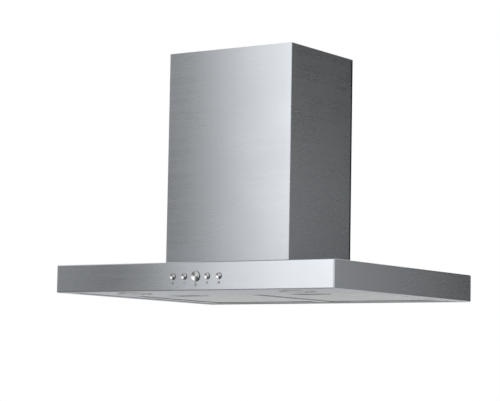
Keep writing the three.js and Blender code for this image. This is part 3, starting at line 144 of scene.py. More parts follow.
class Graph:
    """A material's nodes round one surface shader, added one at a time."""

    def __init__(self, name: str) -> None:
        """Starts an empty material with a surface shader and its output.

        Args:
            name: The material's name.
        """
        self.material = bpy.data.materials.new(name)
        self.material.use_nodes = True
        self.tree = self.material.node_tree
        self.tree.nodes.clear()
        self.surface = self.add("ShaderNodeBsdfPrincipled")
        output = self.add("ShaderNodeOutputMaterial")
        self.tree.links.new(self.surface.outputs[0], output.inputs["Surface"])

    def add(self, kind: str, inputs: dict[Any, Any] | None = None, **settings: Any) -> bpy.types.Node:
        """Adds a node.

        Args:
            kind: The node's type.
            inputs: Values or sockets for its inputs, by name or number.
            settings: The node's own settings.

        Returns:
            The new node.
        """
        node = self.tree.nodes.new(kind)
        for name, value in settings.items():
            setattr(node, name, value)
        self.feed(node, inputs or {})
        return node

    def feed(self, node: bpy.types.Node, inputs: dict[Any, Any]) -> None:
        """Links sockets to a node's inputs, or sets their values.

        Args:
            node: The node to feed.
            inputs: Values or sockets, by the input's name or number.
        """
        for name, value in inputs.items():
            if isinstance(value, bpy.types.NodeSocket):
                self.tree.links.new(value, node.inputs[name])
            else:
                node.inputs[name].default_value = value

    def math(self, operation: str, *terms: Any) -> bpy.types.NodeSocket:
        """Combines numbers.

        Args:
            operation: The math node's operation.
            terms: Numbers or sockets.

        Returns:
            The result's socket.
        """
        return self.add("ShaderNodeMath", dict(enumerate(terms)), operation=operation).outputs[0]

    def times(self, value: Any, factor: Any) -> bpy.types.NodeSocket:
        """A number multiplied by another."""
        return self.math("MULTIPLY", value, factor)

    def vector_math(self, operation: str, *terms: Any) -> bpy.types.NodeSocket:
        """Combines vectors.

        Args:
            operation: The vector math node's operation.
            terms: Vectors or sockets.

        Returns:
            The result's socket, a number for a length or a dot product and otherwise a vector.
        """
        node = self.add("ShaderNodeVectorMath", dict(enumerate(terms)), operation=operation)
        return node.outputs["Value" if operation in ("LENGTH", "DOT_PRODUCT") else "Vector"]

    def blend(self, share: Any, first: Any, second: Any) -> bpy.types.NodeSocket:
        """Mixes two numbers.

        Args:
            share: How much of the second, from 0 to 1.
            first: The number at 0.
            second: The number at 1.

        Returns:
            The mixed number's socket.
        """
        return self.add("ShaderNodeMix", {0: share, 2: first, 3: second}, data_type="FLOAT").outputs[0]

    def tint(self, share: Any, first: Colour, second: Colour) -> bpy.types.NodeSocket:
        """Mixes two colours.

        Args:
            share: How much of the second, from 0 to 1.
            first: The colour at 0.
            second: The colour at 1.

        Returns:
            The mixed colour's socket.
        """
        inputs = {0: share, 6: (*first, 1.0), 7: (*second, 1.0)}
        return self.add("ShaderNodeMix", inputs, data_type="RGBA").outputs[2]

    def ramp(self, value: Any, low: float, high: float, start: float = 0.0,
             end: float = 1.0) -> bpy.types.NodeSocket:
        """Maps a number's range to another, held at its ends.

        Args:
            value: The number.
            low: The value that gives start.
            high: The value that gives end.
            start: The result at and below low.
            end: The result at and above high.

        Returns:
            The mapped number's socket.
        """
        inputs = {"Value": value, "From Min": low, "From Max": high, "To Min": start, "To Max": end}
        return self.add("ShaderNodeMapRange", inputs, clamp=True).outputs[0]

    def around(self, noise: Any, level: float, less: float, more: float) -> bpy.types.NodeSocket:
        """A level that noise lowers and raises.

        Args:
            noise: The noise, from 0 to 1.
            level: The level to vary.
            less: How far it falls at most.
            more: How far it rises at most.

        Returns:
            The varied level's socket.
        """
        return self.ramp(noise, *NOISE_RANGE, level - less, level + more)

    def place(self) -> bpy.types.NodeSocket:
        """The point's place on its piece, in metres."""
        return self.add("ShaderNodeTexCoord").outputs["Object"]

    def split(self, vector: Any) -> tuple[bpy.types.NodeSocket, ...]:
        """A vector's three components."""
        return tuple(self.add("ShaderNodeSeparateXYZ", {0: vector}).outputs)

    def vector(self, x: Any = 0.0, y: Any = 0.0, z: Any = 0.0) -> bpy.types.NodeSocket:
        """A vector from three components."""
        return self.add("ShaderNodeCombineXYZ", {0: x, 1: y, 2: z}).outputs[0]

    def noise(self, vector: Any, scale: float, detail: float = 2.0) -> bpy.types.NodeSocket:
        """Smooth noise from 0 to 1.

        Args:
            vector: Where to read it.
            scale: Waves for each unit of the vector.
            detail: How many finer layers it has.

        Returns:
            The noise's socket.
        """
        inputs = {"Vector": vector, "Scale": scale, "Detail": detail}
        return self.add("ShaderNodeTexNoise", inputs).outputs["Fac"]

    def cells(self, vector: Any, scale: float) -> bpy.types.Node:
        """A node of irregular cells with a random colour and distance for each."""
        return self.add("ShaderNodeTexVoronoi", {"Vector": vector, "Scale": scale})

    def bump(self, height: Any, depth: float, strength: float = 1.0) -> bpy.types.NodeSocket:
        """A surface normal tilted by a height.

        Args:
            height: The height, from 0 to 1.
            depth: The height's real size in metres.
            strength: How much of the tilt is used.

        Returns:
            The normal's socket.
        """
        inputs = {"Height": height, "Distance": depth, "Strength": strength}
        return self.add("ShaderNodeBump", inputs).outputs[0]

    def spread(self, direction: Any) -> None:
        """Spreads highlights along a direction on the surface, given on the piece."""
        turned = self.add("ShaderNodeVectorTransform", {0: direction}, vector_type="VECTOR",
                          convert_from="OBJECT", convert_to="WORLD")
        self.feed(self.surface, {"Tangent": turned.outputs[0]})

    def wear(self, colour: Colour, share: float, vary: Any) -> bpy.types.NodeSocket:
        """A colour that a number makes darker or lighter.

        Args:
            colour: The middle colour.
            share: The largest change either way, as a share of the colour.
            vary: The number, from 0 to 1.

        Returns:
            The varied colour's socket.
        """
        dark = tuple(part * (1 - share) for part in colour)
        light = tuple(min(1.0, part * (1 + share)) for part in colour)
        return self.tint(vary, dark, light)


# ---------------------------------------------------------------- finishes


@dataclass(frozen=True)
class BrushedSheet:
    """Metal sheet with straight brush lines: level on upright faces, from left to right on level ones."""

    name: str
    colour: Colour
    roughness: float = 0.27
    anisotropy: float = 0.88
    uneven: float = 0.02
    streak: float = 0.03
    lines: float = 900.0
    bands: float = 90.0
    bands_share: float = 0.45
    along_lines: float = 5.0
    along_bands: float = 1.5
    level_from: float = 0.7
    scratch: float = 4e-6

    def material(self) -> bpy.types.Material:
        """Makes the finish's material.

        Returns:
            The material.
        """
        graph = Graph(self.name)
        coordinates = graph.add("ShaderNodeTexCoord").outputs
        x, y, z = graph.split(coordinates["Object"])
        _, _, up = graph.split(coordinates["Normal"])
        level = graph.math("GREATER_THAN", graph.math("ABSOLUTE", up), self.level_from)
        across = graph.blend(level, z, y)
        along = graph.math("ADD", x, graph.blend(level, y, 0.0))
        lines = graph.vector(graph.times(along, self.along_lines), graph.times(across, self.lines))
        bands = graph.vector(graph.times(along, self.along_bands), graph.times(across, self.bands))
        fine = graph.noise(lines, 1.0)
        streaks = graph.blend(self.bands_share, fine, graph.noise(bands, 1.0, 3.0))
        smudge = graph.noise(coordinates["Object"], 9.0, 3.0)
        rough = graph.math("ADD", graph.around(streaks, self.roughness, self.uneven, self.uneven),
                           graph.ramp(smudge, 0.35, 0.75, 0.0, 0.03))
        graph.feed(graph.surface, {
            "Base Color": graph.wear(self.colour, self.streak, graph.ramp(streaks, 0.25, 0.75)),
            "Metallic": 1.0,
            "Roughness": rough,
            "Anisotropic": self.anisotropy,
            "Normal": graph.bump(fine, self.scratch, 0.1),
        })
        graph.spread(graph.vector(0.0, 0.02, 1.0))
        return graph.material


@dataclass(frozen=True)
class SpunMetal:
    """Metal turned on a lathe, with fine rings, and with painted reflection and painted shade in its colour
    that its plane map places: bright and dark wedges across the centre and a darker rim.
    """

    name: str
    colour: Colour
    # Colour of the painted shade in the dark wedges and at the rim.
    shaded: Colour = (0.13, 0.131, 0.134)
    roughness: float = 0.22
    uneven: float = 0.03
    anisotropy: float = 0.85
    rings: float = 18.0
    groove: float = 3e-6

    def material(self) -> bpy.types.Material:
        """Makes the finish's material.

        Returns:
            The material.
        """
        graph = Graph(self.name)
        u, v, _ = graph.split(graph.add("ShaderNodeUVMap", uv_map=PLANE_MAP).outputs[0])
        centred = graph.vector(u, 0.0, v)
        radius = graph.vector_math("LENGTH", centred)
        rings = graph.noise(graph.vector(graph.times(radius, self.rings)), 1.0)
        # Painted reflection: two opposite quarters bright and the other two dark, as a spun face's highlight;
        # painted shade darkens the rim.
        diagonal = graph.math("DIVIDE", graph.times(u, v), graph.math("POWER", radius, 2.0))
        painted_sheen = graph.times(graph.ramp(diagonal, -0.5, 0.3), graph.ramp(radius, 0.93, 1.0, 1.0, 0.2))
        lit = graph.times(painted_sheen, graph.ramp(rings, *NOISE_RANGE, 0.92, 1.0))
        graph.feed(graph.surface, {
            "Base Color": graph.tint(lit, self.shaded, self.colour),
            "Metallic": 1.0,
            "Roughness": graph.around(rings, self.roughness, self.uneven, self.uneven),
            "Anisotropic": self.anisotropy,
            "Normal": graph.bump(rings, self.groove, 0.3),
        })
        graph.spread(centred)
        return graph.material


@dataclass(frozen=True)
class PlainMetal:
    """Bare metal with a faint cloudy grain."""

    name: str
    colour: Colour
    roughness: float = 0.25
    grain: float = 400.0
    vary: float = 0.05

    def material(self) -> bpy.types.Material:
        """Makes the finish's material.

        Returns:
            The material.
        """
        graph = Graph(self.name)
        place = graph.place()
        grain = graph.noise(place, self.grain, 3.0)
        cloud = graph.noise(place, 30.0, 3.0)
        graph.feed(graph.surface, {
            "Base Color": graph.wear(self.colour, self.vary, cloud),
            "Metallic": 1.0,
            "Roughness": graph.around(grain, self.roughness, 0.04, 0.06),
            "Normal": graph.bump(grain, 1e-5, 0.3),
        })
        return graph.material


@dataclass(frozen=True)
class ZincSheet:
    """Hot-dipped sheet with its frozen zinc flowers."""

    name: str = "zinc_sheet"
    colour: Colour = (0.5, 0.52, 0.54)
    flowers: float = 110.0
    drift: float = 6 * MM

    def material(self) -> bpy.types.Material:
        """Makes the finish's material.

        Returns:
            The material.
        """
        graph = Graph(self.name)
        place = graph.place()
        drift = graph.vector(graph.times(graph.noise(place, 160.0), self.drift),
                             graph.times(graph.noise(place, 190.0), self.drift))
        cell = graph.cells(graph.vector_math("ADD", place, drift), self.flowers)
        shade, other, _ = graph.split(cell.outputs["Color"])
        cloud = graph.noise(place, 14.0, 4.0)
        graph.feed(graph.surface, {
            "Base Color": graph.wear(self.colour, 0.16, graph.blend(0.35, shade, cloud)),
            "Metallic": 1.0,
            "Roughness": graph.ramp(other, 0.0, 1.0, 0.38, 0.58),
            "Normal": graph.bump(shade, 3e-5, 0.3),
        })
        return graph.material


@dataclass(frozen=True)
class MouldedPlastic:
    """Moulded plastic with a spark-eroded grain."""

    name: str
    colour: Colour
    roughness: float = 0.5
    grain: float = 1500.0

    def material(self) -> bpy.types.Material:
        """Makes the finish's material.

        Returns:
            The material.
        """
        graph = Graph(self.name)
        place = graph.place()
        grain = graph.noise(place, self.grain, 2.0)
        cloud = graph.noise(place, 25.0, 3.0)
        graph.feed(graph.surface, {
            "Base Color": graph.wear(self.colour, 0.08, cloud),
            "Roughness": graph.around(cloud, self.roughness, 0.05, 0.07),
            "IOR": 1.5,
            "Normal": graph.bump(grain, 3e-5, 0.35),
        })
        return graph.material


@dataclass(frozen=True)
class Enamel:
    """Baked enamel with a slight orange-peel surface."""

    name: str
    colour: Colour
    roughness: float = 0.35

    def material(self) -> bpy.types.Material:
        """Makes the finish's material.

        Returns:
            The material.
        """
        graph = Graph(self.name)
        place = graph.place()
        peel = graph.noise(place, 500.0, 1.0)
        dust = graph.noise(place, 40.0, 4.0)
        graph.feed(graph.surface, {
            "Base Color": graph.wear(self.colour, 0.1, dust),
            "Roughness": graph.around(dust, self.roughness, 0.05, 0.1),
            "Coat Weight": 0.2,
            "Coat Roughness": 0.2,
            "Normal": graph.bump(peel, 4e-5, 0.4),
        })
        return graph.material


@dataclass(frozen=True)
class FrostedGlass:
    """Pressed glass, etched on its inside."""

    name: str = "etched_glass"
    colour: Colour = (0.93, 0.95, 0.95)

    def material(self) -> bpy.types.Material:
        """Makes the finish's material.

        Returns:
            The material.
        """
        graph = Graph(self.name)
        place = graph.place()
        etch = graph.noise(place, 2500.0, 2.0)
        cloud = graph.noise(place, 60.0, 2.0)
        graph.feed(graph.surface, {
            "Base Color": graph.wear(self.colour, 0.03, cloud),
            "Roughness": graph.ramp(cloud, *NOISE_RANGE, 0.3, 0.42),
            "IOR": 1.5,
            "Transmission Weight": 0.35,
            "Normal": graph.bump(etch, 2e-5, 0.4),
        })
        return graph.material


@dataclass(frozen=True)
class SolderMask:
    """Lacquered circuit board with tracks under its mask."""

    name: str = "solder_mask"
    colour: Colour = (0.03, 0.16, 0.07)
    track: Colour = (0.07, 0.3, 0.13)
    track_gap: float = 0.5 * MM
    track_length: float = 19 * MM
    track_pitch: float = 3.4 * MM

    def material(self) -> bpy.types.Material:
        """Makes the finish's material.

        Returns:
            The material.
        """
        graph = Graph(self.name)
        place = graph.place()
        x, _, z = graph.split(place)
        rows = graph.add("ShaderNodeTexBrick", {
            "Vector": graph.vector(x, z),
            "Scale": 1.0,
            "Mortar Size": self.track_gap,
            "Brick Width": self.track_length,
            "Row Height": self.track_pitch,
        }).outputs["Fac"]
        graph.feed(graph.surface, {
            "Base Color": graph.tint(rows, self.colour, self.track),
            "Roughness": graph.ramp(graph.noise(place, 90.0), *NOISE_RANGE, 0.25, 0.4),
            "Coat Weight": 0.3,
            "Normal": graph.bump(rows, 3e-5, 0.5),
        })
        return graph.material


STAINLESS = BrushedSheet("brushed_stainless", (0.578, 0.604, 0.637))
# Near-black steel as painted shade: it stands for the shadow gap where a rear cover's flange shows behind the
# front cover.
PAINTED_SHADE_STEEL = BrushedSheet("painted_shade_steel", (0.07, 0.073, 0.077), roughness=0.36, anisotropy=0.6)
SATIN_ALUMINIUM = BrushedSheet("satin_aluminium", (0.76, 0.77, 0.78), roughness=0.42, anisotropy=0.8,
                               streak=0.04, lines=1400.0)
# The buttons' turned steel, with painted reflection wedges and a painted shade rim in its colour.
SPUN_STEEL_PAINTED_SHEEN = SpunMetal("spun_steel_painted_sheen", (0.72, 0.725, 0.73))
POLISHED_STEEL = PlainMetal("polished_steel", (0.72, 0.725, 0.73), roughness=0.12, vary=0.02)
MESH_ALUMINIUM = PlainMetal("mesh_aluminium", (0.82, 0.825, 0.83), roughness=0.38, grain=900.0)
REFLECTOR = PlainMetal("reflector", (0.78, 0.79, 0.8), roughness=0.28, grain=700.0)
DRAWN_STEEL = PlainMetal("drawn_steel", (0.6, 0.605, 0.61), roughness=0.22, grain=1200.0)
SCREW_STEEL = PlainMetal("screw_steel", (0.55, 0.555, 0.56), roughness=0.3, grain=900.0, vary=0.08)
ZINC = ZincSheet()
BLACK = MouldedPlastic("black_moulding", (0.03, 0.03, 0.033), 0.5)
GREY = MouldedPlastic("grey_moulding", (0.35, 0.36, 0.37), 0.48)
WHITE = MouldedPlastic("white_moulding", (0.78, 0.78, 0.76), 0.45)
SHEATH = MouldedPlastic("cable_jacket", (0.035, 0.035, 0.038), 0.42, grain=2500.0)
PRINT = MouldedPlastic("printed_mark", (0.09, 0.092, 0.095), 0.6, grain=3000.0)
PHOSPHOR = MouldedPlastic("phosphor_gel", (0.85, 0.66, 0.12), 0.3)
MOTOR_ENAMEL = Enamel("motor_enamel", (0.08, 0.085, 0.09))
ETCHED = FrostedGlass()
MASK = SolderMask()

Finish = (BrushedSheet | SpunMetal | PlainMetal | ZincSheet | MouldedPlastic | Enamel | FrostedGlass
          | SolderMask)


@lru_cache(maxsize=None)
def material_of(finish: Finish) -> bpy.types.Material:
    """The finish's one material, made at its first use."""
    return finish.material()


# ---------------------------------------------------------------- forms


class Form:
    """A mesh that is being made, in metres in the row frame."""

    def __init__(self) -> None:
        """Starts with an empty mesh."""
        self.mesh = bmesh.new()

    @classmethod
    def merged(cls, node: str) -> Form:
        """A copy of a node's solid whose loose triangles are joined.

        Args:
            node: The node's name.

        Returns:
            The form.
        """
        form = cls()
        form.mesh.from_mesh(frame["nodes"][node].data)
        bmesh.ops.remove_doubles(form.mesh, verts=form.mesh.verts, dist=MERGE)
        return form

    @classmethod
    def of_node(cls, node: str) -> Form:
        """A merged copy of a node's solid, with each flat side as few faces as it needs.

        Args:
            node: The node's name.

        Returns:
            The form.
        """
        form = cls.merged(node)
        bmesh.ops.dissolve_limit(form.mesh, angle_limit=FLAT, verts=form.mesh.verts, edges=form.mesh.edges)
        return form

    @classmethod
    def turned(cls, outline: Outline, axis: Axis, centre: Vector, steps: int) -> Form:
        """A form turned on a lathe.

        Args:
            outline: Points (radius, place along the axis) in order. It closes on itself or ends on the axis.
            axis: The axis to turn round.
            centre: The point that the axis runs through, from which places along it are measured.
            steps: How many flats make the full turn.

        Returns:
            The form.
        """
        form = cls()
        closed = outline[0] == outline[-1]
        points = outline[:-1] if closed else outline
        verts = [form.mesh.verts.new((radius, 0.0, along)) for radius, along in points]
        pairs = list(zip(verts, verts[1:]))
        if closed:
            pairs.append((verts[-1], verts[0]))
        edges = [form.mesh.edges.new(pair) for pair in pairs]
        bmesh.ops.spin(form.mesh, geom=[*verts, *edges], axis=(0, 0, 1), cent=(0, 0, 0), angle=2 * math.pi,
                       steps=steps, use_merge=True)
        bmesh.ops.remove_doubles(form.mesh, verts=form.mesh.verts, dist=MERGE)
        bmesh.ops.recalc_face_normals(form.mesh, faces=form.mesh.faces)
        return form.moved(Matrix.Translation(centre) @ axis.turn)

    @classmethod
    def block(cls, low: Vector, high: Vector) -> Form:
        """A box between two corners.

        Args:
            low: Its lowest corner.
            high: Its highest corner.

        Returns:
            The form.
        """
        form = cls()
        bmesh.ops.create_cube(form.mesh, size=1.0)
        size = Matrix.Diagonal((*(high - low), 1.0))
        return form.moved(Matrix.Translation((low + high) / 2) @ size)

    def moved(self, place: Matrix) -> Form:
        """Moves, turns or sizes the whole form."""
        bmesh.ops.transform(self.mesh, matrix=place, verts=self.mesh.verts)
        return self

    def with_form(self, other: Form) -> Form:
        """Takes in another form, which is used up.

        Args:
            other: The form to take in.

        Returns:
            This form.
        """
        loose = bpy.data.meshes.new("loose")
        other.mesh.to_mesh(loose)
        other.mesh.free()
        self.mesh.from_mesh(loose)
        bpy.data.meshes.remove(loose)
        return self

    def bevelled(self, edges: list[bmesh.types.BMEdge], offset: float, segments: int) -> dict[str, Any]:
        """Cuts edges off round.

        Args:
            edges: The edges.
            offset: How far the cut reaches from each edge.
            segments: How many flats make it.

        Returns:
            What the operator made.
        """
        return bmesh.ops.bevel(self.mesh, geom=edges, offset=offset, offset_type="OFFSET", segments=segments,
                               profile=0.5, affect="EDGES", clamp_overlap=True, material=-1)

    def softened(self, radius: float, segments: int = 2, where: EdgeTest | None = None) -> Form:
        """Rounds the sharp edges.

        Args:
            radius: How far the rounding reaches from each edge.
            segments: How many flats make it.
            where: Which of those edges to round, or all.

        Returns:
            This form.
        """
        sharp = [edge for edge in self.mesh.edges if len(edge.link_faces) == 2
                 and edge.calc_face_angle() > SHARP and (where is None or where(edge))]
        self.bevelled(sharp, radius, segments)
        return self

    def grooved(self, point: Vector, across: Vector, where: FaceTest, reach: float,
                width: float = 0.3 * MM, depth: float = 0.25 * MM) -> Form:
        """Sinks the fine line of a joint into a face.

        Args:
            point: A point on the line.
            across: The direction across the line, in the face.
            where: Tells the faces that the line runs in.
            reach: How far the line runs from the point.
            width: The line's width.
            depth: Its depth.

        Returns:
            This form.
        """
        faces = [face for face in self.mesh.faces if where(face)]
        cut = bmesh.ops.bisect_plane(self.mesh, geom=with_borders(faces), dist=MERGE, plane_co=point,
                                     plane_no=across)["geom_cut"]
        line = [part for part in cut if isinstance(part, bmesh.types.BMEdge) and len(part.link_faces) == 2
                and all(where(face) for face in part.link_faces)
                and max((vert.co - point).length for vert in part.verts) < reach]
        made = self.bevelled(line, width / 2, 2)
        inward = -sum((face.normal for face in faces if face.is_valid), Vector()).normalized()
        for vert in made["verts"]:
            if abs((vert.co - point).dot(across)) < MERGE:
                vert.co += inward * depth
        return self

    def mitred(self, corners: Iterable[Corner], level: float, reach: float) -> Form:
        """Sinks the joint lines that run in from the corners of a face that looks down.

        Args:
            corners: The face's corners, as plan_corners gives them.
            level: The face's level.
            reach: How far each line runs from its corner.

        Returns:
            This form.
        """
        for x, y, side_x, side_y in corners:
            across = Vector((side_x, -side_y, 0.0)).normalized()
            self.grooved(Vector((x, y, level)), across, faces_down(level), reach)
        return self

    def mapped(self, centre: Vector, radius: float) -> Form:
        """Gives each corner its place from a centre in the X-Z plane, in radii, as the plane map.

        Args:
            centre: The centre.
            radius: The length that counts as 1.

        Returns:
            This form.
        """
        layer = self.mesh.loops.layers.uv.new(PLANE_MAP)
        for face in self.mesh.faces:
            for loop in face.loops:
                offset = (loop.vert.co - centre) / radius
                loop[layer].uv = (offset.x, offset.z)
        return self

    def piece(self, name: str, finish: Finish, body: str, slot: str,
              crease: float = 40.0) -> bpy.types.Object:
        """Ends the form as a piece of the object.

        Args:
            name: The piece's name.
            finish: Its finish.
            body: The body it rides on.
            slot: The record's material slot; not used.
            crease: Edges with a larger angle in degrees stay sharp.

        Returns:
            The piece.
        """
        for face in self.mesh.faces:
            face.smooth = True
        mesh = bpy.data.meshes.new(name)
        self.mesh.to_mesh(mesh)
        self.mesh.free()
        mesh.set_sharp_from_angle(angle=math.radians(crease))
        mesh.materials.append(material_of(finish))
        made = bpy.data.objects.new(name, mesh)
        bpy.context.scene.collection.objects.link(made)
        even = made.modifiers.new("even_faces", "WEIGHTED_NORMAL")
        even.keep_sharp = True
        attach(made, body)
        return made

    def stands_for(self, node: str, finish: Finish, making: str, crease: float = 40.0) -> bpy.types.Object:
        """Ends the form as the piece that is shown for a node, on its body.

        Args:
            node: The node's name.
            finish: The piece's finish.
            making: The word for how it is made, which ends its name.
            crease: Edges with a larger angle in degrees stay sharp.

        Returns:
            The piece.
        """
        made = self.piece(f"{node}_{making}", finish, frame["nodes"][node]["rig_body"], SLOTS[node], crease)
        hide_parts(node)
        return made


def middle(node: str) -> Vector:
    """The middle of a node's box."""
    low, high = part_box(node)
    return (low + high) / 2


def span(node: str, axis: Axis) -> tuple[float, float]:
    """A node's lowest and highest place along an axis."""
    low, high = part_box(node)
    return low[axis.value], high[axis.value]


def plan_corners(node: str, outset: float = 0.0) -> Iterator[Corner]:
    """The corners of a node's plan.

    Args:
        node: The node's name.
        outset: How far outside its box they are taken.

    Returns:
        Each corner's x and y, and the signs of the ways inwards along them.
    """
    low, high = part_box(node)
    for x, side_x in ((low.x - outset, 1), (high.x + outset, -1)):
        for y, side_y in ((low.y - outset, 1), (high.y + outset, -1)):
            yield x, y, side_x, side_y


def with_borders(faces: list[bmesh.types.BMFace]) -> list[Any]:
    """Faces with their corners and edges.

    Args:
        faces: The faces.

    Returns:
        The corners, edges and faces, each once and in a fixed order.
    """
    verts = dict.fromkeys(vert for face in faces for vert in face.verts)
    edges = dict.fromkeys(edge for face in faces for edge in face.edges)
    return [*verts, *edges, *faces]


def faces_down(level: float) -> FaceTest:
    """Tells the faces that look straight down at one level.

    Args:
        level: The level.

    Returns:
        The test for one face.
    """
    def test(face: bmesh.types.BMFace) -> bool:
        """Whether a face looks down at the level."""
        return face.normal.z < -0.99 and abs(face.calc_center_median().z - level) < TOUCH

    return test


def on_outer_faces(node: str) -> EdgeTest:
    """Tells the edges that run where two of a node's outer faces meet.

    Args:
        node: The node's name.

    Returns:
        The test for one edge.
    """
    limits = tuple(zip((False, True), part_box(node)))

    def faces(corner: Vector) -> set[tuple[int, bool]]:
        """The faces of the node's box that a corner lies on.

        Args:
            corner: The corner's place.

        Returns:
            Each face's axis, and whether it is the upper one.
        """
        return {(axis, upper) for axis in range(3) for upper, limit in limits
                if abs(corner[axis] - limit[axis]) < TOUCH}

    def test(edge: bmesh.types.BMEdge) -> bool:
        """Whether both ends of an edge lie on the same two faces."""
        first, second = edge.verts
        return len(faces(first.co) & faces(second.co)) >= 2

    return test


def bowl(radius: float, depth: float, steps: int, rim: float = 0.0) -> list[Pair]:
    """The outline of a shallow bowl, from its middle to its rim.

    Args:
        radius: The rim's radius.
        depth: How far its middle lies from its rim, along the axis.
        steps: How many flats make the outline.
        rim: The rim's place along the axis.

    Returns:
        The outline's points.
    """
    return [(radius * step / steps, rim + depth * (1 - (step / steps) ** 2)) for step in range(steps + 1)]


def dressed(node: str, finish: Finish, making: str, radius: float = 0.3 * MM,
            segments: int = 2) -> bpy.types.Object:
    """A node's own shape with rounded edges and its finish.

    Args:
        node: The node's name.
        finish: Its finish.
        making: The word for how it is made.
        radius: The radius of its edges.
        segments: How many flats round each edge.

    Returns:
        The piece that is shown for the node.
    """
    return Form.of_node(node).softened(radius, segments).stands_for(node, finish, making)


def flexible(node: str, finish: Finish, making: str) -> bpy.types.Object:
    """A wire or cable, smoothed round from its node's coarse tube.

    Args:
        node: The node's name.
        finish: Its finish.
        making: The word for how it is made.

    Returns:
        The piece that is shown for the node.
    """
    form = Form.merged(node)
    bmesh.ops.join_triangles(form.mesh, faces=form.mesh.faces, angle_face_threshold=math.radians(40),
                             angle_shape_threshold=math.radians(60))
    made = form.stands_for(node, finish, making, crease=180.0)
    made.modifiers.clear()
    round_off = made.modifiers.new("round_off", "SUBSURF")
    round_off.levels = round_off.render_levels = 2
    return made


@dataclass(frozen=True)
class Screw:
    """A pan head with a cross recess."""

    radius: float = 2.9 * MM
    height: float = 1.6 * MM
    recess: float = 1.1 * MM
    arm: float = 1.5 * MM
    slot: float = 0.28
    floor: float = 0.8
    shoulder: Stops = ((1.0, 0.45), (0.92, 0.33), (0.72, 0.22))
    corners: int = 24

    def head(self) -> Form:
        """Makes one head, standing on the origin along +Z.

        Returns:
            The head.
        """
        form = Form()
        bmesh.ops.create_circle(form.mesh, cap_ends=True, radius=self.radius, segments=self.corners)
        ring = list(form.mesh.edges)
        for share, rise in self.shoulder:
            ring, _ = self.raised(form, ring, share, rise * self.height)
        ring, verts = self.raised(form, ring, 1.0, 0.0)
        for vert in verts:
            vert.co.xy = self.on_cross(math.atan2(vert.co.y, vert.co.x))
        ring, _ = self.raised(form, ring, self.floor, -self.recess)
        bmesh.ops.contextual_create(form.mesh, geom=ring)
        bmesh.ops.recalc_face_normals(form.mesh, faces=form.mesh.faces)
        return form

    @staticmethod
    def raised(form: Form, ring: list[bmesh.types.BMEdge], share: float,
               rise: float) -> tuple[list[bmesh.types.BMEdge], list[bmesh.types.BMVert]]:
        """Extrudes a ring of edges upwards.

        Args:
            form: The form that the ring belongs to.
            ring: The ring's edges.
            share: The new ring's size as a share of the old one.
            rise: How far the new ring lies above the old one.

        Returns:
            The new ring's edges and corners.
        """
        made = bmesh.ops.extrude_edge_only(form.mesh, edges=ring)["geom"]
        verts = [part for part in made if isinstance(part, bmesh.types.BMVert)]
        bmesh.ops.scale(form.mesh, vec=(share, share, 1.0), verts=verts)
        bmesh.ops.translate(form.mesh, vec=(0.0, 0.0, rise), verts=verts)
        return [part for part in made if isinstance(part, bmesh.types.BMEdge)], verts

    def on_cross(self, angle: float) -> Vector:
        """The point of the cross recess that a ring corner moves to, a quarter of the ring for each arm.

        Args:
            angle: The corner's angle.

        Returns:
            The point.
        """
        place = round(angle * self.corners / (2 * math.pi)) % self.corners
        quarter, step = divmod(place, self.corners // 4)
        slot = self.slot
        between = (1 + slot) / 2
        arm = ((1, 0), (1, slot), (between, slot), (slot, slot), (slot, between), (slot, 1))
        return Matrix.Rotation(math.radians(90) * quarter, 2) @ Vector(arm[step]) * self.arm


@dataclass(frozen=True)
class Rivet:
    """A low domed rivet head."""

    radius: float = 2.2 * MM
    height: float = 0.9 * MM

    def head(self) -> Form:
        """Makes one head, standing on the origin along +Z.

        Returns:
            The head.
        """
        dome = [(self.radius * math.cos(math.radians(angle)), self.height * math.sin(math.radians(angle)))
                for angle in range(0, 90, 18)]
        return Form.turned([(0.0, 0.0), *dome, (0.0, self.height)], Axis.Z, Vector(), steps=16)


def fastened(name: str, heads: Screw | Rivet, places: Sequence[Sequence[float]], direction: Sequence[float],
             body: str = "hood", slot: str = "spring_steel") -> bpy.types.Object:
    """A group of like screws or rivets whose heads stand the same way.

    Args:
        name: The group's name.
        heads: What each is.
        places: Where each head stands.
        direction: The way the heads point.
        body: The body that they ride on.
        slot: The record's material slot.

    Returns:
        The piece.
    """
    turn = turn_to(Vector(direction))
    group = Form()
    for place in places:
        group.with_form(heads.head().moved(Matrix.Translation(place) @ turn))
    return group.piece(name, SCREW_STEEL, body, slot, crease=30.0)


# ---------------------------------------------------------------- sub-assemblies


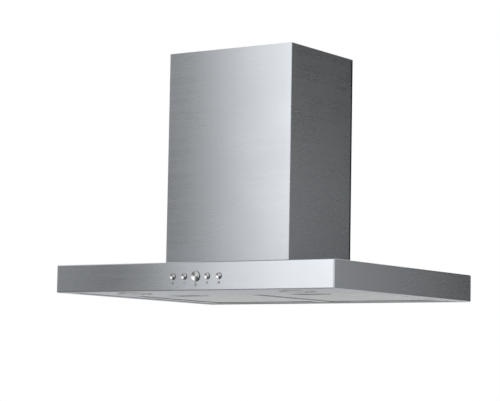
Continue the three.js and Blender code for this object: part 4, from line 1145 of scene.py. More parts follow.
@dataclass
class Canopy:
    """The folded shell, the panel set into its underside and the rail between the filters."""

    fold: float = 2.3 * MM
    edge: float = 0.55 * MM
    sheet_edge: float = 0.25 * MM
    lip: float = 20 * MM
    screw: Screw = Screw(radius=2.4 * MM, height=1.2 * MM, recess=0.8 * MM, arm=1.2 * MM)
    screw_inset: float = 12 * MM

    def build(self) -> Iterator[bpy.types.Object]:
        """Makes the canopy's pieces.

        Returns:
            The pieces, one at a time.
        """
        yield self.shell("canopy_shell")
        for node in ("underside_panel", "filter_rail"):
            yield dressed(node, STAINLESS, "folded", self.sheet_edge)
        yield self.panel_screws()

    def shell(self, node: str) -> bpy.types.Object:
        """Folds the shell, with a mitred joint at each corner of its lip.

        Args:
            node: The shell's node.

        Returns:
            The shell.
        """
        bottom, _ = span(node, Axis.Z)
        form = Form.of_node(node).softened(self.fold, 6, where=on_outer_faces(node))
        form.softened(self.edge, 3).mitred(plan_corners(node), bottom, 2 * self.lip)
        return form.stands_for(node, STAINLESS, "folded")

    def panel_screws(self) -> bpy.types.Object:
        """Puts the screws that hold the underside panel beside the filters and in front of them.

        Returns:
            The group of screws.
        """
        low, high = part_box("canopy_shell")
        _, filter_end = span("filter_frame_right", Axis.X)
        bottom, _ = span("underside_panel", Axis.Z)
        beside = (filter_end + high.x - self.lip) / 2
        ahead = low.y + self.lip + self.screw_inset
        behind = -ahead - self.screw_inset
        places = [(side * beside, y, bottom) for side in (-1, 1) for y in (ahead, 0.0, behind)]
        places.append((0.0, ahead, bottom))
        return fastened("panel_screws", self.screw, places, (0, 0, -1))


@dataclass
class Controls:
    """Five turned push buttons with their springs and signs, their carrier, board and cable."""

    flats: int = 72
    dish: float = 0.3 * MM
    dish_steps: int = 8
    chamfer: float = 0.35 * MM
    button_edge: float = 0.12 * MM
    proud: float = 2 * MM
    flange_behind: float = 1.5 * MM
    flange: float = 1.2 * MM
    stem_radius: float = 2.5 * MM
    carrier_edge: float = 0.4 * MM
    board_edge: float = 0.15 * MM
    mark_gap: float = 6.4 * MM
    mark_half: float = 2.6 * MM
    mark_stroke: float = 0.85 * MM
    mark_flats: int = 32
    ink: float = 0.04 * MM

    def build(self) -> Iterator[bpy.types.Object]:
        """Makes the control group's pieces.

        Returns:
            The pieces, one at a time.
        """
        for sign in Sign:
            yield self.button(f"{sign}_button")
            yield self.spring(sign)
            yield self.mark(sign)
        yield dressed("control_carrier", BLACK, "moulded", self.carrier_edge)
        yield dressed("control_board", MASK, "etched", self.board_edge)
        yield flexible("control_cable", SHEATH, "laid")

    def button(self, node: str) -> bpy.types.Object:
        """Turns one button, with a dished face and the flange that holds it behind the canopy's front.

        Args:
            node: The button's node.

        Returns:
            The button.
        """
        face, end = span(node, Axis.Y)
        low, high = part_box(node)
        outer = (high.z - low.z) / 2
        radius = outer - self.flange
        flange_front = face + self.proud + self.flange_behind
        outline = [
            *bowl(radius - 2 * self.chamfer, self.dish, self.dish_steps, face),
            (radius - self.chamfer, face),
            (radius, face + self.chamfer),
            (radius, flange_front),
            (outer, flange_front),
            (outer, flange_front + self.flange),
            (self.stem_radius, flange_front + self.flange),
            (self.stem_radius, end),
            (0.0, end),
        ]
        centre = middle(node)
        form = Form.turned([(r, along - centre.y) for r, along in outline], Axis.Y, centre, self.flats)
        return form.softened(self.button_edge).mapped(centre, radius).stands_for(node, SPUN_STEEL_PAINTED_SHEEN, "turned")

    @staticmethod
    def spring(sign: Sign) -> bpy.types.Object:
        """Winds one return spring, smoothed round from its node's coil, on its own copy of the mesh.

        Returns:
            The spring.
        """
        node = f"{sign}_button_spring"
        push = f"{sign}_button_push"
        wound = flexible(node, DRAWN_STEEL, "wound")
        joints = {joint["name"]: joint for joint in frame["record"]["behaviour"]["joints"]}
        _, travel = joints[push]["range_m"]
        start, seat = span(node, Axis.Y)
        centre = middle(node)
        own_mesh(wound)
        return wound

    def mark(self, sign: Sign) -> bpy.types.Object:
        """Prints one plain sign on the canopy's front, below its button.

        Args:
            sign: The sign.

        Returns:
            The printed sign.
        """
        form = Form()
        for shape in self.shapes(sign):
            form.with_form(shape)
        low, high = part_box(f"{sign}_button")
        front, _ = span("canopy_shell", Axis.Y)
        level = low.z + self.flange - self.mark_gap
        form.moved(Matrix.Translation(((low.x + high.x) / 2, front, level)))
        return form.piece(f"{sign}_mark", PRINT, "hood", "grey_plastic")

    def shapes(self, sign: Sign) -> list[Form]:
        """The rings and strokes of a sign, round its own middle.

        Args:
            sign: The sign.

        Returns:
            Its shapes.
        """
        half, stroke = self.mark_half, self.mark_stroke
        match sign:
            case Sign.LIGHT:
                foot = self.stroke(0.0, -0.85 * half, 0.7 * half, stroke)
                return [self.ring(0.25 * half, 0.75 * half), foot]
            case Sign.MINUS:
                return [self.stroke(0.0, 0.0, 2 * half, stroke)]
            case Sign.POWER:
                return [self.ring(-0.1 * half, half), self.stroke(0.0, 0.75 * half, stroke, 1.1 * half)]
            case Sign.PLUS:
                return [self.stroke(0.0, 0.0, 2 * half, stroke), self.stroke(0.0, 0.0, stroke, 2 * half)]
        upright = self.stroke(0.0, 0.3 * half, stroke, 0.7 * half)
        level = self.stroke(0.25 * half, 0.0, 0.6 * half, stroke)
        return [self.ring(0.0, half), upright, level]

    def stroke(self, x: float, z: float, width: float, height: float) -> Form:
        """One straight stroke of a sign.

        Args:
            x: Its middle's place across the sign.
            z: Its middle's place up the sign.
            width: Its size across.
            height: Its size upwards.

        Returns:
            The stroke, which stands proud of the X-Z plane.
        """
        low = Vector((x - width / 2, -self.ink, z - height / 2))
        high = Vector((x + width / 2, 0.0, z + height / 2))
        return Form.block(low, high)

    def ring(self, z: float, radius: float) -> Form:
        """One round stroke of a sign.

        Args:
            z: Its middle's place up the sign.
            radius: Its outer radius.

        Returns:
            The stroke, which stands proud of the X-Z plane.
        """
        inside = radius - self.mark_stroke
        front = -self.ink
        outline = [(inside, front), (radius, front), (radius, 0.0), (inside, 0.0), (inside, front)]
        return Form.turned(outline, Axis.Y, Vector((0.0, 0.0, z)), self.mark_flats)


@dataclass
class Lamps:
    """Two round lamps with bezels, etched lenses, reflector cups and light sources."""

    flats: int = 96
    seat: float = 3.0 * MM
    clearance: float = 0.2 * MM
    flange: float = 1.0 * MM
    rounding: float = 0.35 * MM
    sleeve_wall: float = 1.6 * MM
    dome: float = 0.55 * MM
    dome_steps: int = 6
    lens_rim: float = 0.6 * MM
    lens_middle: float = 0.9
    prisms: int = 6
    prism_width: float = 0.75
    prism_floor: float = 0.68
    cup_wall: float = 1.5 * MM
    carrier_radius: float = 11.0 * MM
    emitter_radius: float = 6.5 * MM
    emitter_drop: float = 0.5 * MM
    disc: float = 1.2 * MM
    disc_edge: float = 0.2 * MM
    disc_flats: int = 48

    def build(self) -> Iterator[bpy.types.Object]:
        """Makes the lamps' pieces.

        Returns:
            The pieces, one at a time.
        """
        for side in Side:
            yield self.bezel(f"lamp_bezel_{side}", f"lamp_lens_{side}")
            yield self.lens(f"lamp_lens_{side}")
            yield dressed(f"lamp_housing_{side}", REFLECTOR, "spun")
            yield self.source(side, "carrier", WHITE, self.carrier_radius, 0.0)
            yield self.source(side, "emitter", PHOSPHOR, self.emitter_radius, self.emitter_drop)
            yield flexible(f"lamp_cable_{side}", SHEATH, "laid")

    def bezel(self, node: str, lens: str) -> bpy.types.Object:
        """Turns one bezel: a rounded flange round the lens and the sleeve behind it.

        Args:
            node: The bezel's node.
            lens: The node of the lens it carries.

        Returns:
            The bezel.
        """
        low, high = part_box(node)
        lens_low, lens_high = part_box(lens)
        outer = (high.x - low.x) / 2
        glass = (lens_high.x - lens_low.x) / 2
        mouth = glass - self.seat
        sleeve = glass + self.clearance + self.sleeve_wall
        seat_top = lens_low.z - low.z - self.clearance
        height = high.z - low.z
        soft = self.rounding
        outline = [
            (mouth, 2 * soft),
            (mouth + 0.3 * soft, 0.9 * soft),
            (mouth + soft, 0.2 * soft),
            (mouth + 2 * soft, 0.0),
            (outer - 3 * soft, 0.0),
            (outer - 1.4 * soft, 0.3 * soft),
            (outer - 0.4 * soft, 1.1 * soft),
            (outer, 2.2 * soft),
            (outer, self.flange),
            (sleeve, self.flange),
            (sleeve, height),
            (sleeve - self.sleeve_wall, height),
            (sleeve - self.sleeve_wall, seat_top),
            (mouth, seat_top),
            (mouth, 2 * soft),
        ]
        centre = Vector((*middle(node).xy, low.z))
        turned = Form.turned(outline, Axis.Z, centre, self.flats)
        return turned.stands_for(node, POLISHED_STEEL, "turned", crease=50.0)

    def lens(self, node: str) -> bpy.types.Object:
        """Turns one lens: a shallow dome below and ring prisms above.

        Args:
            node: The lens's node.

        Returns:
            The lens.
        """
        low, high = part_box(node)
        radius = (high.x - low.x) / 2
        thick = high.z - low.z
        clear = radius - self.seat - self.lens_rim
        prisms = []
        for ring in range(self.prisms, 0, -1):
            prisms.append((clear * ring / (self.prisms + 1), thick))
            prisms.append((clear * (ring - self.prism_width) / (self.prisms + 1), self.prism_floor * thick))
        outline = [
            *bowl(clear, -self.dome, self.dome_steps),
            (radius, 0.0),
            (radius, thick),
            (clear, thick),
            *prisms,
            (0.0, self.lens_middle * thick),
        ]
        centre = Vector((*middle(node).xy, low.z))
        turned = Form.turned(outline, Axis.Z, centre, self.flats)
        return turned.stands_for(node, ETCHED, "pressed", crease=50.0)

    def source(self, side: Side, part: str, finish: Finish, radius: float, drop: float) -> bpy.types.Object:
        """Turns one disc of the light source under the cup's roof.

        Args:
            side: Which lamp.
            part: What the disc is.
            finish: Its finish.
            radius: Its radius.
            drop: How far its top lies below the roof.

        Returns:
            The disc.
        """
        cup = f"lamp_housing_{side}"
        _, top = span(cup, Axis.Z)
        thick, edge = self.disc, self.disc_edge
        outline = [(0.0, -thick), (radius - edge, -thick), (radius, -thick + edge), (radius, 0.0), (0.0, 0.0)]
        centre = Vector((*middle(cup).xy, top - self.cup_wall - drop))
        disc = Form.turned(outline, Axis.Z, centre, self.disc_flats)
        return disc.piece(f"lamp_{part}_{side}", finish, "hood", "white_plastic")


@dataclass
class Filters:
    """Two grease filters: folded frames, layers of expanded mesh, grips and latches."""

    edge: float = 0.45 * MM
    sheet: float = 1.2 * MM
    rim: float = 10.0 * MM
    rivet_inset: float = 6.2 * MM
    strand: float = 0.75 * MM
    cell: Pair = (12.0 * MM, 7.0 * MM)
    layer_inset: float = 0.8 * MM
    crimp: float = 0.25
    crimp_pitch: float = 21.0 * MM
    notch_room: float = 1.0 * MM
    grip_edge: float = 0.6 * MM
    latch_edge: float = 0.4 * MM
    ribs: int = 7
    rib_pitch: float = 5.0 * MM
    rib_width: float = 1.0 * MM
    rib_sunk: float = 0.6 * MM
    rib_proud: float = 0.4 * MM
    rib_below: float = 0.8 * MM
    rib_above: float = 0.6 * MM
    rib_edge: float = 0.2 * MM

    def build(self) -> Iterator[bpy.types.Object]:
        """Makes the filters' pieces.

        Returns:
            The pieces, one at a time.
        """
        for side in Side:
            yield self.folded_frame(side)
            yield self.pad(f"filter_pad_{side}", f"filter_handle_{side}")
            yield dressed(f"filter_handle_{side}", GREY, "moulded", self.grip_edge, 3)
            yield self.latch(f"filter_latch_{side}")
            yield self.rivets(side)

    def folded_frame(self, side: Side) -> bpy.types.Object:
        """Folds one frame, with a mitred joint at each corner.

        Args:
            side: Which filter.

        Returns:
            The frame.
        """
        node = f"filter_frame_{side}"
        bottom, _ = span(node, Axis.Z)
        form = Form.of_node(node).softened(self.edge).mitred(self.corners(side), bottom, 2 * self.rim)
        return form.stands_for(node, SATIN_ALUMINIUM, "folded")

    def corners(self, side: Side) -> Iterator[Corner]:
        """The corners of a frame's plan, which lie a sheet's thickness outside its pad's."""
        return plan_corners(f"filter_pad_{side}", self.sheet)

    def rivets(self, side: Side) -> bpy.types.Object:
        """Puts a rivet in each corner of a frame.

        Args:
            side: Which filter.

        Returns:
            The group of rivets.
        """
        bottom, _ = span(f"filter_frame_{side}", Axis.Z)
        inset = self.rivet_inset
        places = [(x + side_x * inset, y + side_y * inset, bottom)
                  for x, y, side_x, side_y in self.corners(side)]
        return fastened(f"filter_rivets_{side}", Rivet(), places, (0, 0, -1), f"{side}_filter", "aluminium")

    def pad(self, node: str, handle: str) -> bpy.types.Object:
        """Weaves one pad from three layers of expanded metal, the middle one crimped.

        Args:
            node: The pad's node.
            handle: The node of the handle that the pad leaves room for.

        Returns:
            The pad.
        """
        low, high = span(node, Axis.Z)
        form = self.layer(node, handle, low + self.layer_inset, 0.0, 0.0)
        form.with_form(self.layer(node, handle, (low + high) / 2, self.crimp * (high - low), 0.5))
        form.with_form(self.layer(node, handle, high - self.layer_inset, 0.0, 0.25))
        return form.stands_for(node, MESH_ALUMINIUM, "expanded")

    def layer(self, node: str, handle: str, level: float, crimp: float, shift: float) -> Form:
        """One layer of expanded metal, cut to the pad's outline.

        Args:
            node: The pad's node.
            handle: The node of the handle that it leaves room for.
            level: The layer's height.
            crimp: How far its waves rise and fall.
            shift: How far its cells are shifted, in cells.

        Returns:
            The layer.
        """
        form = self.net(node, shift)
        self.notch(form.mesh, handle)
        for vert in form.mesh.verts:
            vert.co.z = level + crimp * math.sin(2 * math.pi * vert.co.y / self.crimp_pitch)
        bmesh.ops.wireframe(form.mesh, faces=form.mesh.faces, thickness=self.strand, use_replace=True,
                            use_boundary=True)
        return form

    def net(self, node: str, shift: float) -> Form:
        """A flat net of diamonds that fills a pad's plan.

        Args:
            node: The pad's node.
            shift: How far its cells are shifted, in cells.

        Returns:
            The net.
        """
        low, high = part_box(node)
        centre = (low + high) / 2
        width, depth = (high - low).xy
        across, along = self.cell
        count = math.ceil(width / across + depth / along) + 2
        form = Form()
        mesh = form.mesh
        bmesh.ops.create_grid(mesh, x_segments=count, y_segments=count, size=count / 2)
        spread = Matrix.Diagonal((across / math.sqrt(2), along / math.sqrt(2), 1.0, 1.0))
        place = Matrix.Translation((centre.x + shift * across, centre.y, 0.0))
        form.moved(place @ spread @ Matrix.Rotation(math.radians(45), 4, "Z"))
        inset = self.strand / 2
        for point, outward in (((low.x + inset, 0, 0), (-1, 0, 0)), ((high.x - inset, 0, 0), (1, 0, 0)),
                               ((0, low.y + inset, 0), (0, -1, 0)), ((0, high.y - inset, 0), (0, 1, 0))):
            bmesh.ops.bisect_plane(mesh, geom=[*mesh.verts, *mesh.edges, *mesh.faces], dist=MERGE,
                                   plane_co=point, plane_no=outward, clear_outer=True)
        return form

    def notch(self, mesh: bmesh.types.BMesh, handle: str) -> None:
        """Cuts the room for a handle out of a flat net.

        Args:
            mesh: The net's mesh.
            handle: The handle's node.
        """
        low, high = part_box(handle)
        room = self.notch_room
        for point, across in (((low.x - room, 0, 0), (1, 0, 0)), ((high.x + room, 0, 0), (1, 0, 0)),
                              ((0, high.y + room, 0), (0, 1, 0))):
            near = [face for face in mesh.faces if self.reaches(face, low, high)]
            bmesh.ops.bisect_plane(mesh, geom=with_borders(near), dist=MERGE, plane_co=point, plane_no=across)
        inside = [face for face in mesh.faces if self.within(face.calc_center_median(), low, high)]
        bmesh.ops.delete(mesh, context="FACES", geom=inside)

    def reaches(self, face: bmesh.types.BMFace, low: Vector, high: Vector) -> bool:
        """Whether a face's plan reaches into a handle's room.

        Args:
            face: The face.
            low: The lowest corner of the handle's box.
            high: Its highest corner.

        Returns:
            Whether it does.
        """
        room = self.notch_room
        across = [vert.co.x for vert in face.verts]
        deep = [vert.co.y for vert in face.verts]
        return (min(across) < high.x + room and max(across) > low.x - room
                and min(deep) < high.y + room and max(deep) > low.y - room)

    def within(self, point: Vector, low: Vector, high: Vector) -> bool:
        """Whether a point's plan lies in a handle's room, which is its box grown by a margin."""
        room = self.notch_room
        return low.x - room < point.x < high.x + room and low.y - room < point.y < high.y + room

    def latch(self, node: str) -> bpy.types.Object:
        """Moulds one latch with fine ribs on its grip.

        Args:
            node: The latch's node.

        Returns:
            The latch.
        """
        form = Form.of_node(node).softened(self.latch_edge, 3)
        low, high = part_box(node)
        half = self.rib_width / 2
        for place in range(self.ribs):
            x = middle(node).x + (place - (self.ribs - 1) / 2) * self.rib_pitch
            rib = Form.block(Vector((x - half, high.y - self.rib_sunk, low.z + self.rib_above)),
                             Vector((x + half, high.y + self.rib_proud, high.z - self.rib_below)))
            form.with_form(rib.softened(self.rib_edge))
        return form.stands_for(node, GREY, "moulded")


@dataclass
class Blower:
    """The motor box, the scroll's halves, the fan and its motor."""

    edge: float = 0.3 * MM
    blade_edge: float = 0.15 * MM
    shaft_chamfer: float = 0.6 * MM
    shaft_flats: int = 48
    shell_edge: float = 1.2 * MM
    louvres: int = 12
    louvre_width: float = 3.2 * MM
    louvre_reach: Pair = (0.45, 0.78)
    louvre_sunk: float = 1.2 * MM
    louvre_proud: float = 0.6 * MM
    louvre_edge: float = 0.5 * MM

    def build(self) -> Iterator[bpy.types.Object]:
        """Makes the blower's pieces.

        Returns:
            The pieces, one at a time.
        """
        yield dressed("motor_box", ZINC, "folded", self.edge)
        for side in Side:
            yield dressed(f"blower_scroll_{side}", BLACK, "moulded", self.edge)
        yield dressed("fan_rotor", WHITE, "moulded", self.blade_edge, 1)
        yield self.shaft("motor_shaft")
        yield self.motor("motor_body")
        yield dressed("motor_bracket", ZINC, "pressed", self.edge)
        yield flexible("motor_cable", SHEATH, "laid")

    def shaft(self, node: str) -> bpy.types.Object:
        """Turns the shaft, chamfered at both ends.

        Args:
            node: The shaft's node.

        Returns:
            The shaft.
        """
        low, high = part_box(node)
        radius = (high.z - low.z) / 2
        length = high.x - low.x
        cut = self.shaft_chamfer
        outline = [(0.0, 0.0), (radius - cut, 0.0), (radius, cut), (radius, length - cut),
                   (radius - cut, length), (0.0, length)]
        centre = Vector((low.x, *middle(node).yz))
        return Form.turned(outline, Axis.X, centre, self.shaft_flats).stands_for(node, DRAWN_STEEL, "ground")

    def motor(self, node: str) -> bpy.types.Object:
        """Presses the motor's shells, with the cooling louvres in a ring on its end.

        Args:
            node: The motor's node.

        Returns:
            The motor.
        """
        form = Form.of_node(node).softened(self.shell_edge, 3)
        low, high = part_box(node)
        radius = (high.z - low.z) / 2
        half = self.louvre_width / 2
        inner, outer = (share * radius for share in self.louvre_reach)
        axis = Matrix.Translation((0.0, *middle(node).yz))
        for place in range(self.louvres):
            louvre = Form.block(Vector((high.x - self.louvre_sunk, -half, inner)),
                                Vector((high.x + self.louvre_proud, half, outer))).softened(self.louvre_edge)
            turn = Matrix.Rotation(2 * math.pi * place / self.louvres, 4, "X")
            form.with_form(louvre.moved(axis @ turn))
        return form.stands_for(node, MOTOR_ENAMEL, "pressed")


@dataclass
class Outlet:
    """The duct collar with its two flaps."""

    edge: float = 0.3 * MM
    flats: int = 96
    flange: float = 9 * MM
    flange_thick: float = 2.5 * MM
    bead: float = 1.1 * MM
    bead_sunk: float = 0.5 * MM
    bead_below: float = 7 * MM
    screws: int = 6
    screw_inset: float = 4.2 * MM

    def build(self) -> Iterator[bpy.types.Object]:
        """Makes the outlet's pieces.

        Returns:
            The pieces, one at a time.
        """
        yield self.collar("outlet_collar")
        for side in ("front", "back"):
            yield dressed(f"outlet_flap_{side}", BLACK, "moulded", self.edge)
        low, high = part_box("outlet_collar")
        x, y, _ = middle("outlet_collar")
        circle = (high.x - low.x) / 2 - self.screw_inset
        seat = low.z + self.flange_thick
        turns = [2 * math.pi * (place + 0.5) / self.screws for place in range(self.screws)]
        places = [(x + circle * math.cos(turn), y + circle * math.sin(turn), seat) for turn in turns]
        yield fastened("outlet_screws", Screw(), places, (0, 0, 1))

    def collar(self, node: str) -> bpy.types.Object:
        """Moulds the collar, with the bead that a duct clamp grips behind.

        Args:
            node: The collar's node.

        Returns:
            The collar.
        """
        low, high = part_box(node)
        radius = (high.x - low.x) / 2 - self.flange
        sunk, proud = radius - self.bead_sunk, radius + self.bead
        half = 2 * self.bead
        outline = [(sunk, -half), (radius, -half), (proud, -self.bead), (proud, self.bead), (radius, half),
                   (sunk, half), (sunk, -half)]
        centre = Vector((*middle(node).xy, high.z - self.bead_below))
        form = Form.of_node(node).softened(self.edge)
        form.with_form(Form.turned(outline, Axis.Z, centre, self.flats))
        return form.stands_for(node, BLACK, "moulded")


@dataclass
class PowerUnit:
    """The wiring box with its cover, capacitor and cable gland."""

    edge: float = 0.6 * MM
    screw: Screw = Screw(radius=2.5 * MM, height=1.4 * MM, recess=1.0 * MM, arm=1.3 * MM)
    screw_inset: float = 6 * MM
    rim: float = 1.0 * MM
    flats: int = 64

    def build(self) -> Iterator[bpy.types.Object]:
        """Makes the power unit's pieces.

        Returns:
            The pieces, one at a time.
        """
        yield dressed("power_box", GREY, "moulded", self.edge, 3)
        yield dressed("power_box_cover", GREY, "moulded", self.edge, 3)
        yield self.capacitor("capacitor")
        yield dressed("cable_gland", BLACK, "moulded", self.edge, 3)
        _, top = span("power_box_cover", Axis.Z)
        places = [(x, y, top) for x, y, _, _ in plan_corners("power_box_cover", -self.screw_inset)]
        yield fastened("power_cover_screws", self.screw, places, (0, 0, 1))

    def capacitor(self, node: str) -> bpy.types.Object:
        """Turns the motor's capacitor: a can with a rolled rim round its potted end.

        Args:
            node: The capacitor's node.

        Returns:
            The capacitor.
        """
        low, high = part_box(node)
        radius = (high.z - low.z) / 2
        length = high.y - low.y
        rim = self.rim
        outline = [
            (0.0, rim),
            (radius - 2 * rim, rim),
            (radius - 1.5 * rim, 0.0),
            (radius - 0.5 * rim, 0.0),
            (radius, rim),
            (radius, length - 2 * rim),
            (radius - rim, length - 0.4 * rim),
            (radius - 3 * rim, length),
            (0.0, length),
        ]
        centre = Vector((middle(node).x, low.y, middle(node).z))
        return Form.turned(outline, Axis.Y, centre, self.flats).stands_for(node, WHITE, "potted", crease=35.0)


@dataclass
class Chimney:
    """The telescoping covers, their posts and the ceiling plate."""

    fold: float = 1.0 * MM
    edge: float = 0.25 * MM
    screw_inset: float = 15.0 * MM

    def build(self) -> Iterator[bpy.types.Object]:
        """Makes the chimney's pieces.

        Returns:
            The pieces, one at a time.
        """
        for level in ("lower", "upper"):
            for face in ("front", "rear"):
                yield self.cover(f"{level}_cover_{face}")
            for depth in ("front", "back"):
                for side in Side:
                    yield dressed(f"{level}_post_{depth}_{side}", ZINC, "folded", self.edge)
        yield dressed("ceiling_plate", ZINC, "folded", self.edge)
        low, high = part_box("lower_cover_rear")
        inset = self.screw_inset
        places = [(x, high.y, z) for x in (low.x + inset, high.x - inset)
                  for z in (low.z + 2 * inset, high.z - 2 * inset)]
        yield fastened("rear_cover_screws", Screw(), places, (0, 1, 0))

    def cover(self, node: str) -> bpy.types.Object:
        """Folds one cover. A rear one's side flanges take near-black steel as painted shade, where they show
        as a strip behind the front one.

        Args:
            node: The cover's node.

        Returns:
            The cover.
        """
        form = Form.of_node(node).softened(self.fold, 6, where=self.upright_folds(node))
        cover = form.softened(self.edge).stands_for(node, STAINLESS, "folded")
        # Painted shade: the rear cover's flanges facing left and right take the near-black steel.
        if "rear" in node:
            cover.data.materials.append(material_of(PAINTED_SHADE_STEEL))
            for face in cover.data.polygons:
                face.material_index = int(abs(face.normal.x) > 0.9)
        return cover

    @staticmethod
    def upright_folds(node: str) -> EdgeTest:
        """Tells a cover's outer folds, which run all the way up.

        Args:
            node: The cover's node.

        Returns:
            The test for one edge.
        """
        outer = on_outer_faces(node)
        low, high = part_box(node)
        height = high.z - low.z
        folded_face = high.y if "rear" in node else low.y

        def test(edge: bmesh.types.BMEdge) -> bool:
            """Whether an edge is one of those folds.

            Args:
                edge: The edge.

            Returns:
                Whether it is.
            """
            first, second = (vert.co for vert in edge.verts)
            upright = abs(first.z - second.z) > height / 2
            return upright and abs(first.y - folded_face) < TOUCH and outer(edge)

        return test


# ---------------------------------------------------------------- studio and camera


@dataclass
class Camera:
    """The camera that took the picture, from the corners of the hood in it."""

    eye: tuple[float, float, float] = (1.9802, -3.0210, -0.1656)
    yaw: float = 0.5894
    pitch: float = 0.0959
    roll: float = 0.0178
    focal_pixels: float = 1930.4
    picture_width: int = 500
    sensor: float = 36.0

    def build(self) -> bpy.types.Object:
        """Makes the camera and gives it to the scene.

        Returns:
            The camera.
        """
        data = bpy.data.cameras.new("camera")
        data.sensor_width = self.sensor
        data.sensor_fit = "HORIZONTAL"
        data.lens = self.focal_pixels * self.sensor / self.picture_width
        data.clip_end = 100.0
        camera = bpy.data.objects.new("camera", data)
        camera.matrix_world = (Matrix.Translation(self.eye) @ Matrix.Rotation(self.yaw, 4, "Z")
                               @ Matrix.Rotation(math.pi / 2 + self.pitch, 4, "X")
                               @ Matrix.Rotation(self.roll, 4, "Z"))
        bpy.context.scene.collection.objects.link(camera)
        bpy.context.scene.camera = camera
        return camera


def staged(name: str, form: Form, material: bpy.types.Material, unseen: bool = True) -> bpy.types.Object:
    """Ends a form as a part of the stage.

    Args:
        name: The part's name.
        form: Its form.
        material: Its material.
        unseen: Whether only surfaces show it, by their reflections and the light they take from it.

    Returns:
        The part.
    """
    mesh = bpy.data.meshes.new(name)
    form.mesh.to_mesh(mesh)
    form.mesh.free()
    mesh.materials.append(material)
    part = bpy.data.objects.new(name, mesh)
    bpy.context.scene.collection.objects.link(part)
    if unseen:
        part.visible_camera = False
        part.visible_shadow = False
        part.visible_transmission = False
    return part


def glowing(name: str, colour: Any, strength: Any, graph: Graph | None = None) -> bpy.types.Material:
    """A material that only glows.

    Args:
        name: The material's name.
        colour: Its colour or colour socket.
        strength: Its strength or strength socket.
        graph: The graph that the sockets belong to.

    Returns:
        The material.
    """
    graph = graph or Graph(name)
    emission = graph.add("ShaderNodeEmission", {"Color": colour, "Strength": strength})
    graph.tree.links.new(emission.outputs[0], graph.tree.nodes["Material Output"].inputs["Surface"])
    graph.tree.nodes.remove(graph.surface)
    return graph.material


@dataclass
class Card:
    """An upright studio card whose glow changes from one end to the other, and may change upwards too."""

    name: str
    start: Pair
    end: Pair
    heights: Pair
    glow: Stops
    lights: bool = True
    upwards: Stops = ((0.0, 1.0), (1.0, 1.0))

    def build(self) -> bpy.types.Object:
        """Makes the card as a part of the stage.

        Returns:
            The card.
        """
        form = Form()
        bmesh.ops.create_grid(form.mesh, x_segments=1, y_segments=1, size=0.5)
        start, end = (Vector((*point, 0.0)) for point in (self.start, self.end))
        along = end - start
        low, high = self.heights
        upright = Vector((0.0, 0.0, high - low))
        basis = Matrix((along, upright, along.cross(upright).normalized())).transposed()
        centre = (start + end) / 2 + Vector((0.0, 0.0, (low + high) / 2))
        form.moved(Matrix.Translation(centre) @ basis.to_4x4())
        card = staged(self.name, form, self.material(start, along))
        card.visible_diffuse = self.lights
        return card

    def material(self, start: Vector, along: Vector) -> bpy.types.Material:
        """Makes the card's glow.

        Args:
            start: The card's start on the floor plan.
            along: The way from its start to its end.

        Returns:
            The material.
        """
        graph = Graph(self.name)
        place = graph.place()
        _, _, height = graph.split(place)
        share = graph.vector_math("DOT_PRODUCT", graph.vector_math("SUBTRACT", place, start),
                                  along / along.length_squared)
        strongest = max(level for _, level in self.glow)
        upwards = self.curve(graph, graph.ramp(height, *self.heights), self.upwards, 1.0)
        colour = self.curve(graph, share, self.glow, strongest)
        return glowing(self.name, colour, graph.times(upwards, strongest), graph)

    @staticmethod
    def curve(graph: Graph, share: Any, levels: Stops, full: float) -> bpy.types.NodeSocket:
        """A level that follows given stops.

        Args:
            graph: The graph to add it to.
            share: Where to read it, from 0 to 1.
            levels: The stops, each a place from 0 to 1 and its level.
            full: The level that gives 1.

        Returns:
            The level's socket.
        """
        curve = graph.add("ShaderNodeValToRGB", {0: share})
        stops = curve.color_ramp.elements
        for place, (position, level) in enumerate(levels):
            stop = stops[place] if place < 2 else stops.new(position)
            stop.position = position
            stop.color = (*[level / full] * 3, 1.0)
        return curve.outputs[0]


@dataclass
class LevelCard:
    """A level studio card that only reflections show."""

    name: str
    low: Pair
    high: Pair
    level: float
    glow: float

    def build(self) -> bpy.types.Object:
        """Makes the card as a part of the stage.

        Returns:
            The card.
        """
        form = Form()
        bmesh.ops.create_grid(form.mesh, x_segments=1, y_segments=1, size=0.5)
        low, high = (Vector((*corner, self.level)) for corner in (self.low, self.high))
        size = Matrix.Diagonal((high.x - low.x, high.y - low.y, 1.0, 1.0))
        form.moved(Matrix.Translation((low + high) / 2) @ size)
        card = staged(self.name, form, glowing(self.name, (1.0, 1.0, 1.0, 1.0), self.glow))
        card.visible_diffuse = False
        return card


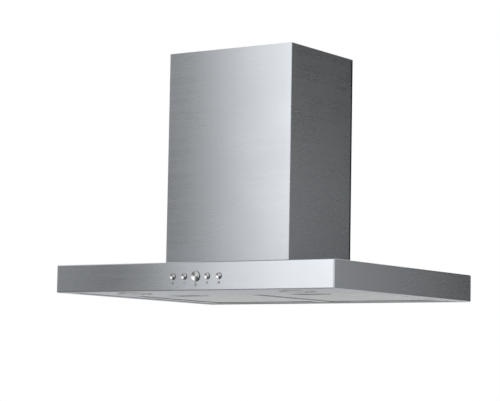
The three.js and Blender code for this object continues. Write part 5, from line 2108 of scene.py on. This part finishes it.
@dataclass
class Studio:
    """A white room with a pale floor and cards that steel mirrors. The front card also gives soft light."""

    floor_level: float = -0.9
    floor_radius: float = 3.0
    floor_fade: Pair = (0.35, 0.98)
    ambient: float = 0.62
    floor_colour: Colour = (0.86, 0.86, 0.86)
    cards: tuple[Card | LevelCard, ...] = field(default_factory=lambda: (
        LevelCard("ceiling", (-1.6, -1.6), (1.6, 1.6), 2.3, 0.2),
        LevelCard("low_flag", (-1.6, -1.15), (1.2, -0.4), -0.45, 0.1),
        Card("front_card", (-3.2, -2.25), (-0.6, -2.25), (-1.2, 3.2),
             ((0.0, 0.4), (0.4, 0.5), (0.48, 0.54), (0.54, 0.24), (0.57, 0.0), (0.62, 0.24),
              (0.66, 0.98), (0.73, 1.63), (0.8, 1.8), (0.88, 2.15), (1.0, 2.3)),
             upwards=((0.0, 0.55), (0.22, 0.55), (0.33, 1.0), (1.0, 1.0))),
        Card("left_card", (-3.2, -2.25), (-4.2, 1.5), (-1.2, 3.2), ((0.0, 0.5), (1.0, 0.6)), lights=False),
        Card("side_card", (1.5, 0.4), (1.5, 4.2), (-0.8, 2.4),
             ((0.0, 0.55), (0.24, 0.74), (0.4, 0.46), (0.52, 0.32), (0.62, 0.08), (1.0, 0.04)),
             lights=False,
             upwards=((0.0, 0.7), (0.2, 0.52), (0.28, 0.74), (0.36, 0.96), (0.42, 0.46), (0.52, 0.05),
                      (1.0, 0.02))),
        Card("rear_card", (1.5, 4.2), (-4.5, 3.4), (-0.85, 2.2),
             ((0.0, 0.03), (0.42, 0.04), (0.54, 0.17), (0.8, 0.19), (0.9, 0.6), (1.0, 0.6)), lights=False),
    ))

    def build(self) -> None:
        """Makes the room, its floor, its cards and the picture's settings."""
        bpy.context.scene.view_settings.view_transform = "Standard"
        self.light_room()
        self.lay_floor()
        for card in self.cards:
            card.build()

    def light_room(self) -> None:
        """Makes the room white where it is seen or mirrored, and an even soft light elsewhere."""
        world = bpy.data.worlds.new("white_room")
        bpy.context.scene.world = world
        world.use_nodes = True
        nodes, links = world.node_tree.nodes, world.node_tree.links
        path = nodes.new("ShaderNodeLightPath")
        seen = path.outputs["Is Camera Ray"]
        for ray in ("Is Glossy Ray", "Is Transmission Ray"):
            either = nodes.new("ShaderNodeMath")
            either.operation = "MAXIMUM"
            links.new(seen, either.inputs[0])
            links.new(path.outputs[ray], either.inputs[1])
            seen = either.outputs[0]
        level = nodes.new("ShaderNodeMapRange")
        level.inputs["To Min"].default_value = self.ambient
        level.inputs["To Max"].default_value = 1.0
        links.new(seen, level.inputs["Value"])
        links.new(level.outputs[0], nodes["Background"].inputs["Strength"])
        nodes["Background"].inputs["Color"].default_value = (1.0, 1.0, 1.0, 1.0)

    def lay_floor(self) -> None:
        """Makes the pale floor, which fades into the white room and is clear from below."""
        form = Form()
        bmesh.ops.create_circle(form.mesh, cap_ends=True, radius=self.floor_radius, segments=96)
        form.moved(Matrix.Translation((0.0, 0.0, self.floor_level)))
        graph = Graph("pale_floor")
        place = graph.place()
        x, y, _ = graph.split(place)
        radius = graph.vector_math("LENGTH", graph.vector(x, y))
        fade = graph.ramp(radius, *(share * self.floor_radius for share in self.floor_fade))
        behind = graph.add("ShaderNodeNewGeometry").outputs["Backfacing"]
        speckle = graph.noise(place, 300.0)
        graph.feed(graph.surface, {
            "Base Color": graph.wear(self.floor_colour, 0.01, speckle),
            "Roughness": 0.8,
            "Alpha": graph.math("SUBTRACT", 1.0, graph.math("MAXIMUM", fade, behind)),
        })
        staged("floor", form, graph.material, unseen=False)


# ---------------------------------------------------------------- assembly


def main() -> None:
    """Builds the camera, the studio and each sub-assembly in order, and logs each piece it makes."""
    logging.basicConfig(level=logging.INFO, format="%(name)s: %(message)s")
    Camera().build()
    Studio().build()
    for assembly in (Canopy(), Controls(), Lamps(), Filters(), Blower(), Outlet(), PowerUnit(), Chimney()):
        for made in assembly.build():
            log.info("%s made %s on %s", type(assembly).__name__, made.name, made["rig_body"])
    bpy.context.view_layer.update()


if __name__ == "__main__":
    main()
